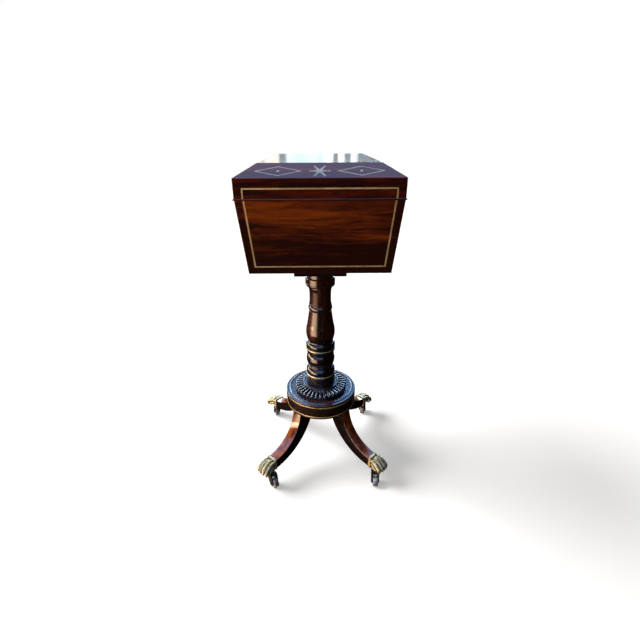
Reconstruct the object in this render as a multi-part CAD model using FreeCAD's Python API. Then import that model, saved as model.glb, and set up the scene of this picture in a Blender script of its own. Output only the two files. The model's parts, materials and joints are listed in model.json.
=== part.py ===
import FreeCAD, Part
import math
import os

# A tea chest on a turned column, with a round platform, four sabre legs, paw caps and castors.
# Millimetres. The floor is z 0. The chest is long in Y, its hinges are at +X and its lock is at -X.

vec = FreeCAD.Vector
up = vec(0, 0, 1)
along_x = vec(1, 0, 0)
along_y = vec(0, 1, 0)

# Heights of the chest
total_height = 754.0
rim_z = 733.5
joint_z = 699.0
case_base_z = 571.5
bearer_base_z = 551.5

# Plan of the chest, as half sizes
lid_half_x = 139.5
lid_half_y = 210.0
length_gain = lid_half_y - lid_half_x
case_top_half_x = 139.0
case_base_half_x = 126.5
slope_inset = 36.0
case_wall = 11.0
lid_wall = 12.0
panel_thick = 10.0
case_floor_thick = 12.0
lip_reach = 1.4
lip_height = 2.8
lip_round = 0.9

# Brass stringing and inlay
string_width = 2.5
string_depth = 1.0
case_string_half_top = 124.0
case_string_half_base = 114.0
case_string_z = 584.6
lid_string_half = 125.0
lid_string_z = 717.4
inlay_depth = 0.8
star_rise = 18.6
star_arm = 15.4
star_slant_arm = 14.8
star_slant_angle = 57.0
star_disc_r = 4.2
star_dot_r = 1.8
star_arm_root = 2.9
star_arm_tip = 0.7
lozenge_half_height = 12.8
lozenge_line = 1.5
lozenge_dot_r = 2.4
lozenge_place_short = 67.3
lozenge_half_width_short = 39.0
lozenge_place_long = 101.0
lozenge_half_width_long = 57.0

# Bearer under the chest, and its screws
bearer_half_x = 50.0
bearer_half_y = 155.0
bearer_screw_x = 36.0
bearer_screw_y = 125.0
bearer_screw_length = 26.0
bearer_screw_head_r = 4.5
bearer_screw_shank_r = 2.2

# Turned stand
platform_base_z = 161.0
platform_top_z = 200.5
platform_r = 89.0
platform_bead_r = 80.0
platform_line_z = (166.4, 193.7)
platform_line_height = 3.2
platform_line_depth = 1.5
collar_top_z = 218.5
collar_inner_r = 45.0
lobe_count = 36
lobe_near_r = 44.0
lobe_near_z = 214.0
lobe_far_r = 60.7
lobe_far_z = 207.5
lobe_far_radius = 5.8
tenon_r = 18.0
spigot_r = 30.0
top_tenon_r = 16.0
turned_gap = 0.1
column_lower_ring_z = (243.4, 247.0)
column_lower_ring_r = 36.2
column_upper_ring_z = (315.6, 318.4)
column_upper_ring_r = 35.7
ring_depth = 2.4

# Legs, measured outwards from the middle of the stand
leg_thick = 26.0
leg_outer_top = (88.0, 161.0)
leg_outer_mid = (118.0, 100.0)
leg_inner_top = (42.0, 161.0)
leg_inner_mid = (88.0, 83.5)
leg_end = 172.0
leg_end_high_z = 73.5
leg_end_low_z = 48.5
leg_tenon_near = 46.0
leg_tenon_far = 82.0
leg_tenon_thick = 16.0
leg_tenon_height = 16.0
stub_length = 18.0
stub_low_z = 55.5
stub_high_z = 69.0
stub_thick = 20.0

# Paw caps: the foot's sections are (outward place, half width, low z, high z, corner radius)
paw_band_length = 6.5
paw_band_half_y = 14.5
paw_band_low_z = 46.0
paw_band_high_z = 76.0
paw_band_corner = 3.0
paw_sole_z = 44.0
paw_sections = (
    (177.5, 13.0, 46.5, 75.5, 4.0),
    (187.0, 14.5, 42.0, 76.0, 6.0),
    (196.0, 16.5, 42.0, 73.0, 8.0),
    (203.5, 15.5, 45.0, 64.5, 8.0),
)
paw_pad_r = 11.5
paw_pad_top_z = 52.0
toe_places = (-12.6, -4.2, 4.2, 12.6)
toe_spread = 1.14
toe_knuckle = (196.5, 67.0, 5.6)
toe_joint = (206.5, 59.5, 5.9)
toe_claw = (207.5, 57.5, 5.5)
toe_tip = (209.0, 50.5, 4.8)
paw_screw_length = 10.0

# Castors
pivot_r = 184.0
pintle_r = 2.5
pintle_head_r = 3.8
pintle_top_z = 54.0
pintle_head_z = (31.5, 32.9)
running_gap = 0.05
wheel_r = 13.5
wheel_half_width = 5.8
castor_trail = 14.0
axle_r = 2.0
axle_head_r = 3.4
axle_head_thick = 1.0
cheek_near_y = 6.4
cheek_far_y = 9.2
fork_bridge_z = (33.0, 39.0)
fork_top_z = 43.6
fork_reach = 15.0
fork_disc_r = 8.0
fork_boss_r = 5.6

# Hinges of the lid
hinge_x = 142.9
hinge_places_y = (-125.0, 125.0)
knuckle_r = 3.0
knuckle_bore_r = 1.35
hinge_pin_r = 1.3
knuckle_length = 9.8
knuckle_pitch = 10.0
leaf_near_x = 130.5
leaf_far_x = 139.5
leaf_thick = 1.4
leaf_gap = 0.1
leaf_screw_x = 134.1
leaf_screw_places = (-16.0, 0.0, 16.0)
small_screw_head_r = 2.2
small_screw_shank_r = 1.1
small_screw_length = 9.0

# Lock, in the wall at -X
lock_outer_x = -134.5
lock_inner_x = -127.5
lock_wall = 1.0
lock_half_y = 24.0
lock_base_z = 670.0
selvedge_x = (-137.5, -127.5)
selvedge_half_y = 34.0
selvedge_thick = 1.5
selvedge_screw_y = 29.5
cavity_half_y = 22.0
cavity_base_z = 681.8
bolt_z = (682.0, 685.5)
bolt_half_x = 1.3
bolt_y = (-19.0, 8.0)
hook_places_y = (-18.0, 4.0)
hook_post = 2.5
hook_finger = 6.0
hook_z = (689.0, 691.5)
hook_half_x = 1.0
staple_thick = 2.0
staple_half_x = 1.8
staple_hang = 12.0
staple_gap = 0.5
link_plate_half_y = 22.0
link_plate_x = (-136.5, -128.5)
link_plate_thick = 1.4
keyhole_z = 677.5
keyhole_r = 1.8
key_chamber_r = 4.6

# Fittings inside the chest
partition_y = (63.0, 69.0)
partition_top_z = 690.0
bowl_board_z = (647.0, 655.0)
bowl_board_tongue = 2.0
bowl_hole_r = 45.0
bowl_x = 56.0
canister_half_x = 110.0
canister_y = (72.0, 184.0)
canister_top_z = 689.0
canister_wall = 6.0
canister_lid_thick = 5.0
canister_rebate = 4.0
canister_rebate_gap = 0.3
knob_base_r = 7.0
knob_neck_r = 3.4
knob_r = 6.0
knob_height = 14.0

# Azimuth of each leg, and the way that its castor trails. The stand sits turned a little under the chest.
stand_turn = 1.5
corners = {
    "front_left": (225.0 + stand_turn, -48.0),
    "front_right": (315.0 + stand_turn, -90.0),
    "back_left": (135.0 + stand_turn, 104.0),
    "back_right": (45.0 + stand_turn, 75.0),
}


# Shapes that every piece is made from

def box(x, y, z):
    return Part.makeBox(x[1] - x[0], y[1] - y[0], z[1] - z[0], vec(x[0], y[0], z[0]))


def centred_box(half_x, half_y, z):
    return box((-half_x, half_x), (-half_y, half_y), z)


def cylinder(radius, z, x=0.0, y=0.0):
    return Part.makeCylinder(radius, z[1] - z[0], vec(x, y, z[0]), up)


def rod_x(radius, x, y, z):
    return Part.makeCylinder(radius, x[1] - x[0], vec(x[0], y, z), along_x)


def rod_y(radius, x, y, z):
    return Part.makeCylinder(radius, y[1] - y[0], vec(x, y[0], z), along_y)


def edges_along(points, place):
    # Each point is (a, b) for a straight edge or (through a, through b, a, b) for an arc.
    edges = []
    last = points[0]
    for step in points[1:] + [points[0]]:
        target = step[-2:]
        if len(step) == 4:
            edges.append(Part.Arc(place(*last), place(*step[:2]), place(*target)).toShape())
        elif target != last:
            edges.append(Part.makeLine(place(*last), place(*target)))
        last = target
    return edges


def face_of(points, place):
    return Part.Face(Part.Wire(edges_along(points, place)))


def turned(points):
    # A solid turned about the Z axis from an outline of (radius, z) points.
    face = face_of(points, lambda r, z: vec(r, 0, z))
    return face.revolve(vec(0, 0, 0), up, 360)


def slab_xz(points, y):
    face = face_of(points, lambda x, z: vec(x, y[0], z))
    return face.extrude(vec(0, y[1] - y[0], 0))


def slab_yz(points, x):
    face = face_of(points, lambda y, z: vec(x[0], y, z))
    return face.extrude(vec(x[1] - x[0], 0, 0))


def slab_xy(points, z):
    face = face_of(points, lambda x, y: vec(x, y, z[0]))
    return face.extrude(vec(0, 0, z[1] - z[0]))


def tapered_block(half_x_low, z_low, half_x_high, z_high):
    # A block that grows or shrinks alike in X and Y, longer in Y by the same amount all the way.
    rings = []
    for half_x, z in ((half_x_low, z_low), (half_x_high, z_high)):
        half_y = half_x + length_gain
        signs = ((-1, -1), (1, -1), (1, 1), (-1, 1), (-1, -1))
        rings.append(Part.makePolygon([vec(sx * half_x, sy * half_y, z) for sx, sy in signs]))
    return Part.makeLoft(rings, True, True)


def tapered_pod(start, start_r, end, end_r):
    # A round rod with ball ends, thicker at one end than at the other.
    span = end.sub(start)
    length = span.Length
    half = math.sqrt(0.5)
    points = [
        (0.0, -start_r),
        (start_r * half, -start_r * half, start_r, 0.0),
        (end_r, length),
        (end_r * half, length + end_r * half, 0.0, length + end_r),
    ]
    pod = turned(points)
    pod.Placement = FreeCAD.Placement(start, FreeCAD.Rotation(up, span))
    return pod


def rotated_z(shape, degrees):
    return shape.rotated(vec(0, 0, 0), up, degrees)


def mirrored_y(shape):
    return shape.mirror(vec(0, 0, 0), along_y)


def mirrored_x(shape):
    return shape.mirror(vec(0, 0, 0), along_x)


def group(shapes):
    solids = []
    for shape in shapes:
        solids.extend(shape.Solids)
    return Part.makeCompound(solids)


def mitre_wedge(side):
    # The share of a mitred frame that belongs to one side, between the planes through its corners.
    reach = 170.0
    outer = reach + length_gain
    ends = [(0.0, -length_gain), (-reach, -outer), (reach, -outer)]
    flanks = [(0.0, -length_gain), (0.0, length_gain), (-reach, outer), (-reach, -outer)]
    z = (case_base_z - 10, total_height + 10)
    if side == "front":
        return slab_xy(ends, z)
    if side == "back":
        return mirrored_y(slab_xy(ends, z))
    if side == "left":
        return slab_xy(flanks, z)
    return mirrored_x(slab_xy(flanks, z))


# A countersunk screw with its head at the origin, driven towards +Z or towards -Z.

def screw(place, length, head_r, shank_r, towards, grow=0.0):
    head_depth = head_r - shank_r
    tip = 1.5
    points = [
        (0.0, 0.0),
        (head_r + grow, 0.0),
        (shank_r + grow, head_depth),
        (shank_r + grow, length - tip),
        (0.0, length + grow),
    ]
    body = turned(points)
    if grow == 0.0:
        slot_half = head_r * 0.12
        body = body.cut(centred_box(head_r * 2, slot_half, (0, head_depth * 0.4)))
    if towards < 0:
        body = body.mirror(vec(0, 0, 0), up)
    return body.translated(place)


def screw_set(places, length, head_r, shank_r, towards):
    screws = []
    holes = []
    for place in places:
        screws.append(screw(place, length, head_r, shank_r, towards))
        holes.append(screw(place, length, head_r, shank_r, towards, running_gap))
    return screws, holes


# Stand

def leg_tenon():
    half = leg_tenon_thick / 2
    z = (platform_base_z, platform_base_z + leg_tenon_height)
    return box((leg_tenon_near, leg_tenon_far), (-half, half), z)


def leg_stub():
    half = stub_thick / 2
    return box((leg_end, leg_end + stub_length), (-half, half), (stub_low_z, stub_high_z))


def leg():
    half = leg_thick / 2
    outline = [
        leg_inner_top,
        leg_outer_top,
        leg_outer_mid + (leg_end, leg_end_high_z),
        (leg_end, leg_end_low_z),
        leg_inner_mid + leg_inner_top,
    ]
    blade = slab_xz(outline, (-half, half))
    return blade.fuse([leg_tenon(), leg_stub()]).removeSplitter()


def rounded_section(x, half_y, low, high, corner):
    # A cross-section standing in the YZ plane, with rounded corners.
    inset = corner * (1 - math.sqrt(0.5))
    y_line = half_y - corner
    points = [
        (-y_line, low),
        (y_line, low),
        (half_y - inset, low + inset, half_y, low + corner),
        (half_y, high - corner),
        (half_y - inset, high - inset, y_line, high),
        (-y_line, high),
        (-half_y + inset, high - inset, -half_y, high - corner),
        (-half_y, low + corner),
        (-half_y + inset, low + inset, -y_line, low),
    ]
    return Part.Wire(edges_along(points, lambda y, z: vec(x, y, z)))


def toe(place_y):
    def joint(spot, spread):
        return vec(spot[0], place_y * spread, spot[1])

    upper = tapered_pod(joint(toe_knuckle, 1.0), toe_knuckle[2], joint(toe_joint, toe_spread), toe_joint[2])
    lower = tapered_pod(joint(toe_claw, toe_spread), toe_claw[2], joint(toe_tip, toe_spread), toe_tip[2])
    return [upper, lower]


def paw_cap():
    band = box((leg_end, leg_end + paw_band_length), (-paw_band_half_y, paw_band_half_y),
               (paw_band_low_z, paw_band_high_z))
    lengthwise = [edge for edge in band.Edges if abs(edge.tangentAt(edge.FirstParameter).x) > 0.9]
    band = band.makeFillet(paw_band_corner, lengthwise)
    foot = Part.makeLoft([rounded_section(*section) for section in paw_sections], True, False)
    pad = cylinder(paw_pad_r, (paw_sole_z - 1, paw_pad_top_z), pivot_r)
    pieces = [foot, pad]
    for place_y in toe_places:
        pieces.extend(toe(place_y))
    cap = band.fuse(pieces)
    below = centred_box(400, 400, (0, paw_sole_z))
    bore = cylinder(pintle_r + running_gap, (paw_sole_z - 5, pintle_top_z + turned_gap), pivot_r)
    return cap.cut([below, leg_stub(), bore])


def platform():
    edge_round = 1.5
    base_round = 1.0
    bead_half = 1.9
    inset = edge_round * (1 - math.sqrt(0.5))
    base_inset = base_round * (1 - math.sqrt(0.5))
    points = [
        (tenon_r + turned_gap, platform_base_z),
        (platform_r - base_round, platform_base_z),
        (platform_r - base_inset, platform_base_z + base_inset, platform_r, platform_base_z + base_round),
        (platform_r, platform_top_z - edge_round),
        (platform_r - inset, platform_top_z - inset, platform_r - edge_round, platform_top_z),
        (platform_bead_r + bead_half, platform_top_z),
        (platform_bead_r, platform_top_z + bead_half, platform_bead_r - bead_half, platform_top_z),
        (tenon_r + turned_gap, platform_top_z),
    ]
    disc = turned(points)
    mortises = [rotated_z(leg_tenon(), azimuth) for azimuth, trail in corners.values()]
    return disc.cut(mortises + platform_lines())


def platform_lines():
    lines = []
    for z in platform_line_z:
        span = (z - platform_line_height / 2, z + platform_line_height / 2)
        lines.append(cylinder(platform_r, span).cut(cylinder(platform_r - platform_line_depth, span)))
    return lines


def gadrooned_collar():
    bore_r = spigot_r + turned_gap
    points = [
        (bore_r, platform_top_z),
        (63.0, platform_top_z),
        (64.0, 206.0),
        (61.0, 210.5, 56.0, 212.0),
        (collar_inner_r, 215.5),
        (collar_inner_r, collar_top_z - 1.0),
        (collar_inner_r - 1.0, collar_top_z),
        (bore_r, collar_top_z),
    ]
    core = turned(points)
    near = vec(lobe_near_r, 0, lobe_near_z)
    far = vec(lobe_far_r, 0, lobe_far_z)
    lobe = tapered_pod(near, lobe_far_radius * lobe_near_r / lobe_far_r, far, lobe_far_radius)
    lobes = [rotated_z(lobe, 360.0 / lobe_count * index) for index in range(lobe_count)]
    return core.fuse(lobes).cut(cylinder(bore_r, (platform_top_z - 5, collar_top_z + 5)))


def column_blank():
    points = [
        (0.0, platform_base_z),
        (tenon_r, platform_base_z),
        (tenon_r, platform_top_z),
        (spigot_r, platform_top_z),
        (spigot_r, collar_top_z),
        # drum, and the quirk over it
        (36.0, collar_top_z),
        (36.0, 239.4),
        (35.3, 241.7, 34.0, 242.6),
        (34.0, column_lower_ring_z[0]),
        (35.6, column_lower_ring_z[0]),
        (36.0, 247.4),
        # lowest ring
        (35.5, 256.8, 31.8, 265.0),
        (30.6, 266.0),
        (30.2, 269.6, 30.8, 273.2),
        (32.2, 274.4),
        # middle ring
        (35.1, 287.6, 32.2, 300.6),
        (31.6, 302.0),
        (32.4, 304.4),
        # upper ring
        (35.9, 320.0, 33.2, 334.4),
        (31.2, 335.8),
        (30.8, 338.0, 31.4, 340.4),
        # vase
        (35.0, 359.0, 32.3, 381.0),
        (27.4, 415.0),
        (27.0, 417.5),
        # bead and fillet
        (28.5, 424.5, 27.0, 431.5),
        (27.0, 433.5),
        (26.2, 435.0),
        # neck
        (25.3, 453.0, 26.2, 471.0),
        (27.2, 473.0),
        (27.2, 478.0),
        # quarter round and collar
        (28.6, 478.6),
        (33.0, 481.0, 34.5, 486.0),
        (34.5, 499.0),
        (33.5, 500.0),
        (31.0, 501.5),
        # cove and flange under the bearer
        (34.4, 528.0, 44.0, 546.5),
        (44.0, bearer_base_z),
        (top_tenon_r, bearer_base_z),
        (top_tenon_r, case_base_z),
        (0.0, case_base_z),
    ]
    return turned(points)


def column_rings():
    rings = []
    for z, radius in ((column_lower_ring_z, column_lower_ring_r), (column_upper_ring_z, column_upper_ring_r)):
        ring = cylinder(radius, z).cut(cylinder(radius - ring_depth, z))
        rings.append(ring)
    return rings


def ring_seats():
    # The grooves reach past the column's surface, so the rings sit in them without a skin of wood.
    seats = []
    for z, radius in ((column_lower_ring_z, column_lower_ring_r), (column_upper_ring_z, column_upper_ring_r)):
        seats.append(cylinder(radius + 2, z).cut(cylinder(radius - ring_depth, z)))
    return seats


def column():
    return column_blank().cut(ring_seats())


# Castors, built with the pivot at the origin and the wheel trailing towards +X

def castor_fork():
    disc = cylinder(fork_disc_r, (fork_bridge_z[1], fork_top_z))
    nose = cylinder(cheek_far_y, fork_bridge_z)
    bridge = box((0, fork_reach), (-cheek_far_y, cheek_far_y), fork_bridge_z)
    cheek_outline = [
        (-1.0, fork_bridge_z[1]),
        (fork_reach, fork_bridge_z[1]),
        (fork_reach + 3.0, fork_bridge_z[0] - 2.0),
        (castor_trail + fork_boss_r, wheel_r),
        (castor_trail - fork_boss_r, wheel_r),
        (2.0, fork_bridge_z[0] - 5.0),
    ]
    pieces = [nose, bridge]
    for y in ((cheek_near_y, cheek_far_y), (-cheek_far_y, -cheek_near_y)):
        pieces.append(slab_xz(cheek_outline, y))
        pieces.append(rod_y(fork_boss_r, castor_trail, y, wheel_r))
    fork = disc.fuse(pieces).removeSplitter()
    bore = cylinder(pintle_r + running_gap, (fork_bridge_z[0] - 5, fork_top_z + 5))
    axle_hole = rod_y(axle_r + 0.02, castor_trail, (-20, 20), wheel_r)
    return fork.cut([bore, axle_hole])


def castor_axle():
    shaft = rod_y(axle_r, castor_trail, (-cheek_far_y, cheek_far_y), wheel_r)
    heads = [
        rod_y(axle_head_r, castor_trail, (cheek_far_y, cheek_far_y + axle_head_thick), wheel_r),
        rod_y(axle_head_r, castor_trail, (-cheek_far_y - axle_head_thick, -cheek_far_y), wheel_r),
    ]
    return shaft.fuse(heads)


def castor_wheel():
    bore = axle_r + running_gap
    edge = 1.4
    inset = edge * (1 - math.sqrt(0.5))
    half = wheel_half_width
    points = [
        (bore, -half),
        (wheel_r - edge, -half),
        (wheel_r - inset, -half + inset, wheel_r, -half + edge),
        (wheel_r, half - edge),
        (wheel_r - inset, half - inset, wheel_r - edge, half),
        (bore, half),
    ]
    wheel = turned(points).rotated(vec(0, 0, 0), along_x, 90)
    return wheel.translated(vec(castor_trail, 0, wheel_r))


def castor_pintle():
    return cylinder(pintle_r, (pintle_head_z[1], pintle_top_z)).fuse(cylinder(pintle_head_r, pintle_head_z))


def pivot_of(corner):
    azimuth = math.radians(corners[corner][0])
    return vec(pivot_r * math.cos(azimuth), pivot_r * math.sin(azimuth), 0)


def at_pivot(shape, corner):
    return rotated_z(shape, corners[corner][1]).translated(pivot_of(corner))


# Tea chest

def case_block(inset, grow_up=0.0):
    slope = (case_top_half_x - case_base_half_x) / (joint_z - case_base_z)
    base = case_base_half_x - inset
    top = case_top_half_x - inset
    return tapered_block(base, case_base_z, top + slope * grow_up, joint_z + grow_up)


def case_floor():
    return case_block(case_wall).common(centred_box(300, 300, (case_base_z, case_base_z + case_floor_thick)))


def u_line(corner_half, corner_z, open_half, open_z):
    # The outline of a line that runs up one side of a face, across it and down the other side.
    half = string_width / 2
    rise = half if corner_z > open_z else -half
    return [
        (open_half + half, open_z),
        (corner_half + half, corner_z + rise),
        (-corner_half - half, corner_z + rise),
        (-open_half - half, open_z),
        (-open_half + half, open_z),
        (-corner_half + half, corner_z - rise),
        (corner_half - half, corner_z - rise),
        (open_half - half, open_z),
    ]


def string_on(skin, corner_half, corner_z, open_half, open_z):
    reach = (-400, 400)
    ends = skin.common(slab_xz(u_line(corner_half, corner_z, open_half, open_z), reach))
    longer = u_line(corner_half + length_gain, corner_z, open_half + length_gain, open_z)
    flanks = skin.common(slab_yz(longer, reach))
    return group([ends, flanks])


def case_stringing():
    skin = case_block(0.0).cut(case_block(string_depth, 1.0))
    return string_on(skin, case_string_half_base, case_string_z, case_string_half_top, joint_z)


def lid_stringing():
    z = (joint_z, rim_z)
    skin = centred_box(lid_half_x, lid_half_y, z).cut(
        centred_box(lid_half_x - string_depth, lid_half_y - string_depth, z))
    return string_on(skin, lid_string_half, lid_string_z, lid_string_half, joint_z + lip_height)


def lid_shell():
    panel_base_z = total_height - panel_thick
    opening_x = lid_half_x - slope_inset
    opening_y = lid_half_y - slope_inset
    inner_x = lid_half_x - lid_wall
    inner_y = lid_half_y - lid_wall
    pitch = (total_height - rim_z) / slope_inset
    shoulder_z = panel_base_z - pitch * (slope_inset - lid_wall)
    outer = centred_box(lid_half_x, lid_half_y, (joint_z, rim_z)).fuse(
        tapered_block(lid_half_x, rim_z, opening_x, total_height))
    hollows = [
        centred_box(inner_x, inner_y, (joint_z - 1, shoulder_z)),
        tapered_block(inner_x, shoulder_z, opening_x, panel_base_z),
        centred_box(opening_x, opening_y, (panel_base_z, total_height + 1)),
    ]
    return outer.cut(hollows)


def lid_panel():
    z = (total_height - panel_thick, total_height)
    return centred_box(lid_half_x - slope_inset, lid_half_y - slope_inset, z)


def lip_moulding(pieces_cleared):
    z = (joint_z, joint_z + lip_height)
    outer = centred_box(lid_half_x + lip_reach, lid_half_y + lip_reach, z)
    level = [edge for edge in outer.Edges if abs(edge.tangentAt(edge.FirstParameter).z) < 0.1]
    ring = outer.makeFillet(lip_round, level).cut(centred_box(lid_half_x, lid_half_y, (z[0] - 1, z[1] + 1)))
    ring = ring.cut(pieces_cleared)
    return group([ring.common(mitre_wedge(side)) for side in ("front", "back", "left", "right")])


def star():
    # A six-armed star with a dot at the end of each arm, drawn round the origin.
    z = (-inlay_depth, 0)
    arms = [(0.0, star_arm), (180.0, star_arm)]
    for angle in (star_slant_angle, 180 - star_slant_angle, 180 + star_slant_angle, -star_slant_angle):
        arms.append((angle, star_slant_arm))
    pieces = []
    for angle, length in arms:
        outline = [(0.0, -star_arm_root), (length, -star_arm_tip), (length, star_arm_tip), (0.0, star_arm_root)]
        arm = slab_xy(outline, z)
        pieces.append(rotated_z(arm.fuse(cylinder(star_dot_r, z, length)), angle))
    return cylinder(star_disc_r, z).fuse(pieces).removeSplitter()


def lozenge(half_width):
    z = (-inlay_depth, 0)
    half_height = lozenge_half_height
    slant = math.hypot(half_width, half_height)
    shrink = lozenge_line * slant / half_height
    inner_width = half_width - shrink
    inner_height = half_height * inner_width / half_width
    outer = slab_xy([(half_width, 0), (0, half_height), (-half_width, 0), (0, -half_height)], z)
    inner = slab_xy([(inner_width, 0), (0, inner_height), (-inner_width, 0), (0, -inner_height)], z)
    return group([outer.cut(inner), cylinder(lozenge_dot_r, z)])


def slope_motif(place, half_width):
    pieces = [star()]
    for offset in (-place, place):
        pieces.append(lozenge(half_width).translated(vec(offset, 0, 0)))
    return group(pieces)


def on_slope(motif, half_run, azimuth):
    # Lays a flat motif on the slope of the lid that faces the azimuth.
    rise = total_height - rim_z
    length = math.hypot(slope_inset, rise)
    tilt = math.degrees(math.atan2(rise, slope_inset))
    laid = motif.translated(vec(0, star_rise, 0)).rotated(vec(0, 0, 0), along_x, tilt)
    return rotated_z(laid.translated(vec(0, -half_run, rim_z)), azimuth)


def slope_inlay():
    short = slope_motif(lozenge_place_short, lozenge_half_width_short)
    long = slope_motif(lozenge_place_long, lozenge_half_width_long)
    return group([
        on_slope(short, lid_half_y, 0),
        on_slope(short, lid_half_y, 180),
        on_slope(long, lid_half_x, 90),
        on_slope(long, lid_half_x, 270),
    ])


# Hinges

def knuckle_span(index):
    start = -2.5 * knuckle_pitch + (knuckle_pitch - knuckle_length) / 2 + index * knuckle_pitch
    return (start, start + knuckle_length)


def hinge_leaf(own_knuckles, plate_z, place_y):
    half = 2.5 * knuckle_pitch
    pieces = []
    for index in own_knuckles:
        span = knuckle_span(index)
        pieces.append(rod_y(knuckle_r, hinge_x, span, joint_z))
        pieces.append(box((leaf_far_x - 1, hinge_x), span, plate_z))
    leaf = box((leaf_near_x, leaf_far_x), (-half, half), plate_z).fuse(pieces)
    return leaf.cut(rod_y(knuckle_bore_r, hinge_x, (-40, 40), joint_z)).translated(vec(0, place_y, 0))


case_leaf_z = (joint_z - leaf_gap - leaf_thick, joint_z - leaf_gap)
lid_leaf_z = (joint_z + leaf_gap, joint_z + leaf_gap + leaf_thick)


def leaf_pocket(z, place_y):
    half = 2.5 * knuckle_pitch
    return box((leaf_near_x, lid_half_x + 5), (place_y - half, place_y + half), z)


def hinge_pin(place_y):
    half = 2.5 * knuckle_pitch + 0.3
    return rod_y(hinge_pin_r, hinge_x, (place_y - half, place_y + half), joint_z)


def leaf_screw_points(z):
    points = []
    for place_y in hinge_places_y:
        for offset in leaf_screw_places:
            points.append(vec(leaf_screw_x, place_y + offset, z))
    return points


# Lock

def staple_span(place_y):
    start = place_y + hook_post + hook_finger + staple_gap
    return (start, start + staple_thick)


def lock_mid_x():
    return (lock_outer_x + lock_inner_x) / 2


def keyhole():
    reach = (-150.0, lock_outer_x + lock_wall + 0.5)
    slot = box(reach, (-0.8, 0.8), (keyhole_z - 5.0, keyhole_z))
    return rod_x(keyhole_r, reach, 0, keyhole_z).fuse(slot)


def lock_case():
    top_z = joint_z - selvedge_thick
    shell = box((lock_outer_x, lock_inner_x), (-lock_half_y, lock_half_y), (lock_base_z, top_z))
    selvedge = box(selvedge_x, (-selvedge_half_y, selvedge_half_y), (top_z, joint_z))
    cavity_x = (lock_outer_x + lock_wall, lock_inner_x - lock_wall)
    cavity = box(cavity_x, (-cavity_half_y, cavity_half_y), (cavity_base_z, top_z))
    chamber = rod_x(key_chamber_r, cavity_x, 0, keyhole_z)
    slots = []
    for place_y in hook_places_y:
        near, far = staple_span(place_y)
        slots.append(box(cavity_x, (near - staple_gap, far + staple_gap), (top_z - 1, joint_z + 1)))
    return shell.fuse(selvedge).cut([cavity, chamber, keyhole()] + slots)


def lock_pocket():
    top_z = joint_z - selvedge_thick
    body = box((lock_outer_x, lock_inner_x + 10), (-lock_half_y, lock_half_y), (lock_base_z, top_z))
    rim = box((selvedge_x[0], selvedge_x[1] + 10), (-selvedge_half_y, selvedge_half_y), (top_z, joint_z + 1))
    return body.fuse(rim)


def lock_bolt():
    middle = lock_mid_x()
    bar_x = (middle - bolt_half_x, middle + bolt_half_x)
    hook_x = (middle - hook_half_x, middle + hook_half_x)
    talon = rod_x(2.4, (middle - 5, middle + 5), 0, bolt_z[0])
    pieces = []
    for place_y in hook_places_y:
        pieces.append(box(hook_x, (place_y, place_y + hook_post), (bolt_z[1] - 0.5, hook_z[1])))
        pieces.append(box(hook_x, (place_y, place_y + hook_post + hook_finger), hook_z))
    return box(bar_x, bolt_y, bolt_z).fuse(pieces).removeSplitter().cut(talon)


def link_plate():
    middle = lock_mid_x()
    plate = box(link_plate_x, (-link_plate_half_y, link_plate_half_y), (joint_z, joint_z + link_plate_thick))
    room = 0.4
    staple_x = (middle - staple_half_x, middle + staple_half_x)
    eye_x = (middle - hook_half_x - room, middle + hook_half_x + room)
    eye_z = (hook_z[0] - room, hook_z[1] + room)
    pieces = []
    eyes = []
    for place_y in hook_places_y:
        near, far = staple_span(place_y)
        pieces.append(box(staple_x, (near, far), (joint_z - staple_hang, joint_z + 0.5)))
        eyes.append(box(eye_x, (near - 1, far + 1), eye_z))
    return plate.fuse(pieces).removeSplitter().cut(eyes)


def key_escutcheon():
    blank = rod_x(7.0, (-150, -120), 0, keyhole_z + 0.5).fuse(rod_x(5.6, (-150, -120), 0, keyhole_z - 6.5))
    skin = case_block(-0.8).cut(case_block(0.6))
    return blank.common(skin).cut(keyhole())


# Fittings inside the chest

def partition():
    inside = case_block(case_wall)
    blank = inside.common(box((-300, 300), partition_y, (case_base_z + case_floor_thick, partition_top_z)))
    groove = box((-300, 300), (0, partition_y[0] + bowl_board_tongue), bowl_board_z)
    return blank.cut(groove)


def bowl_board():
    half_y = partition_y[0] + bowl_board_tongue
    board = case_block(case_wall).common(centred_box(300, half_y, bowl_board_z))
    holes = [cylinder(bowl_hole_r, (600, 700), bowl_x), cylinder(bowl_hole_r, (600, 700), -bowl_x)]
    return board.cut(holes)


def glass_bowl():
    seat_z = bowl_board_z[1]
    points = [
        (0.0, 592.0),
        (20.0, 592.0),
        (20.0, 596.0),
        (37.5, 614.0, 43.5, 650.0),
        (43.5, seat_z),
        (49.5, seat_z),
        (50.2, seat_z + 1.3, 49.5, seat_z + 2.6),
        (46.5, seat_z + 3.4),
        (46.5, 666.8),
        (45.4, 668.0, 44.3, 666.8),
        (43.2, 656.0),
        (40.8, 650.0),
        (34.0, 615.5, 14.0, 599.5),
        (0.0, 598.5),
    ]
    return turned(points)


def canister():
    base_z = case_base_z + case_floor_thick
    outer = box((-canister_half_x, canister_half_x), canister_y, (base_z, canister_top_z))
    return outer.cut(canister_space(0.0))


def canister_space(gap):
    half_x = canister_half_x - canister_wall - gap
    y = (canister_y[0] + canister_wall + gap, canister_y[1] - canister_wall - gap)
    return box((-half_x, half_x), y, (case_base_z + case_floor_thick + canister_wall, canister_top_z))


def canister_lid():
    top = (canister_top_z, canister_top_z + canister_lid_thick)
    plate = box((-canister_half_x, canister_half_x), canister_y, top)
    rebate = canister_space(canister_rebate_gap).common(
        centred_box(300, 300, (canister_top_z - canister_rebate, canister_top_z)))
    return plate.fuse(rebate).removeSplitter()


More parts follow.
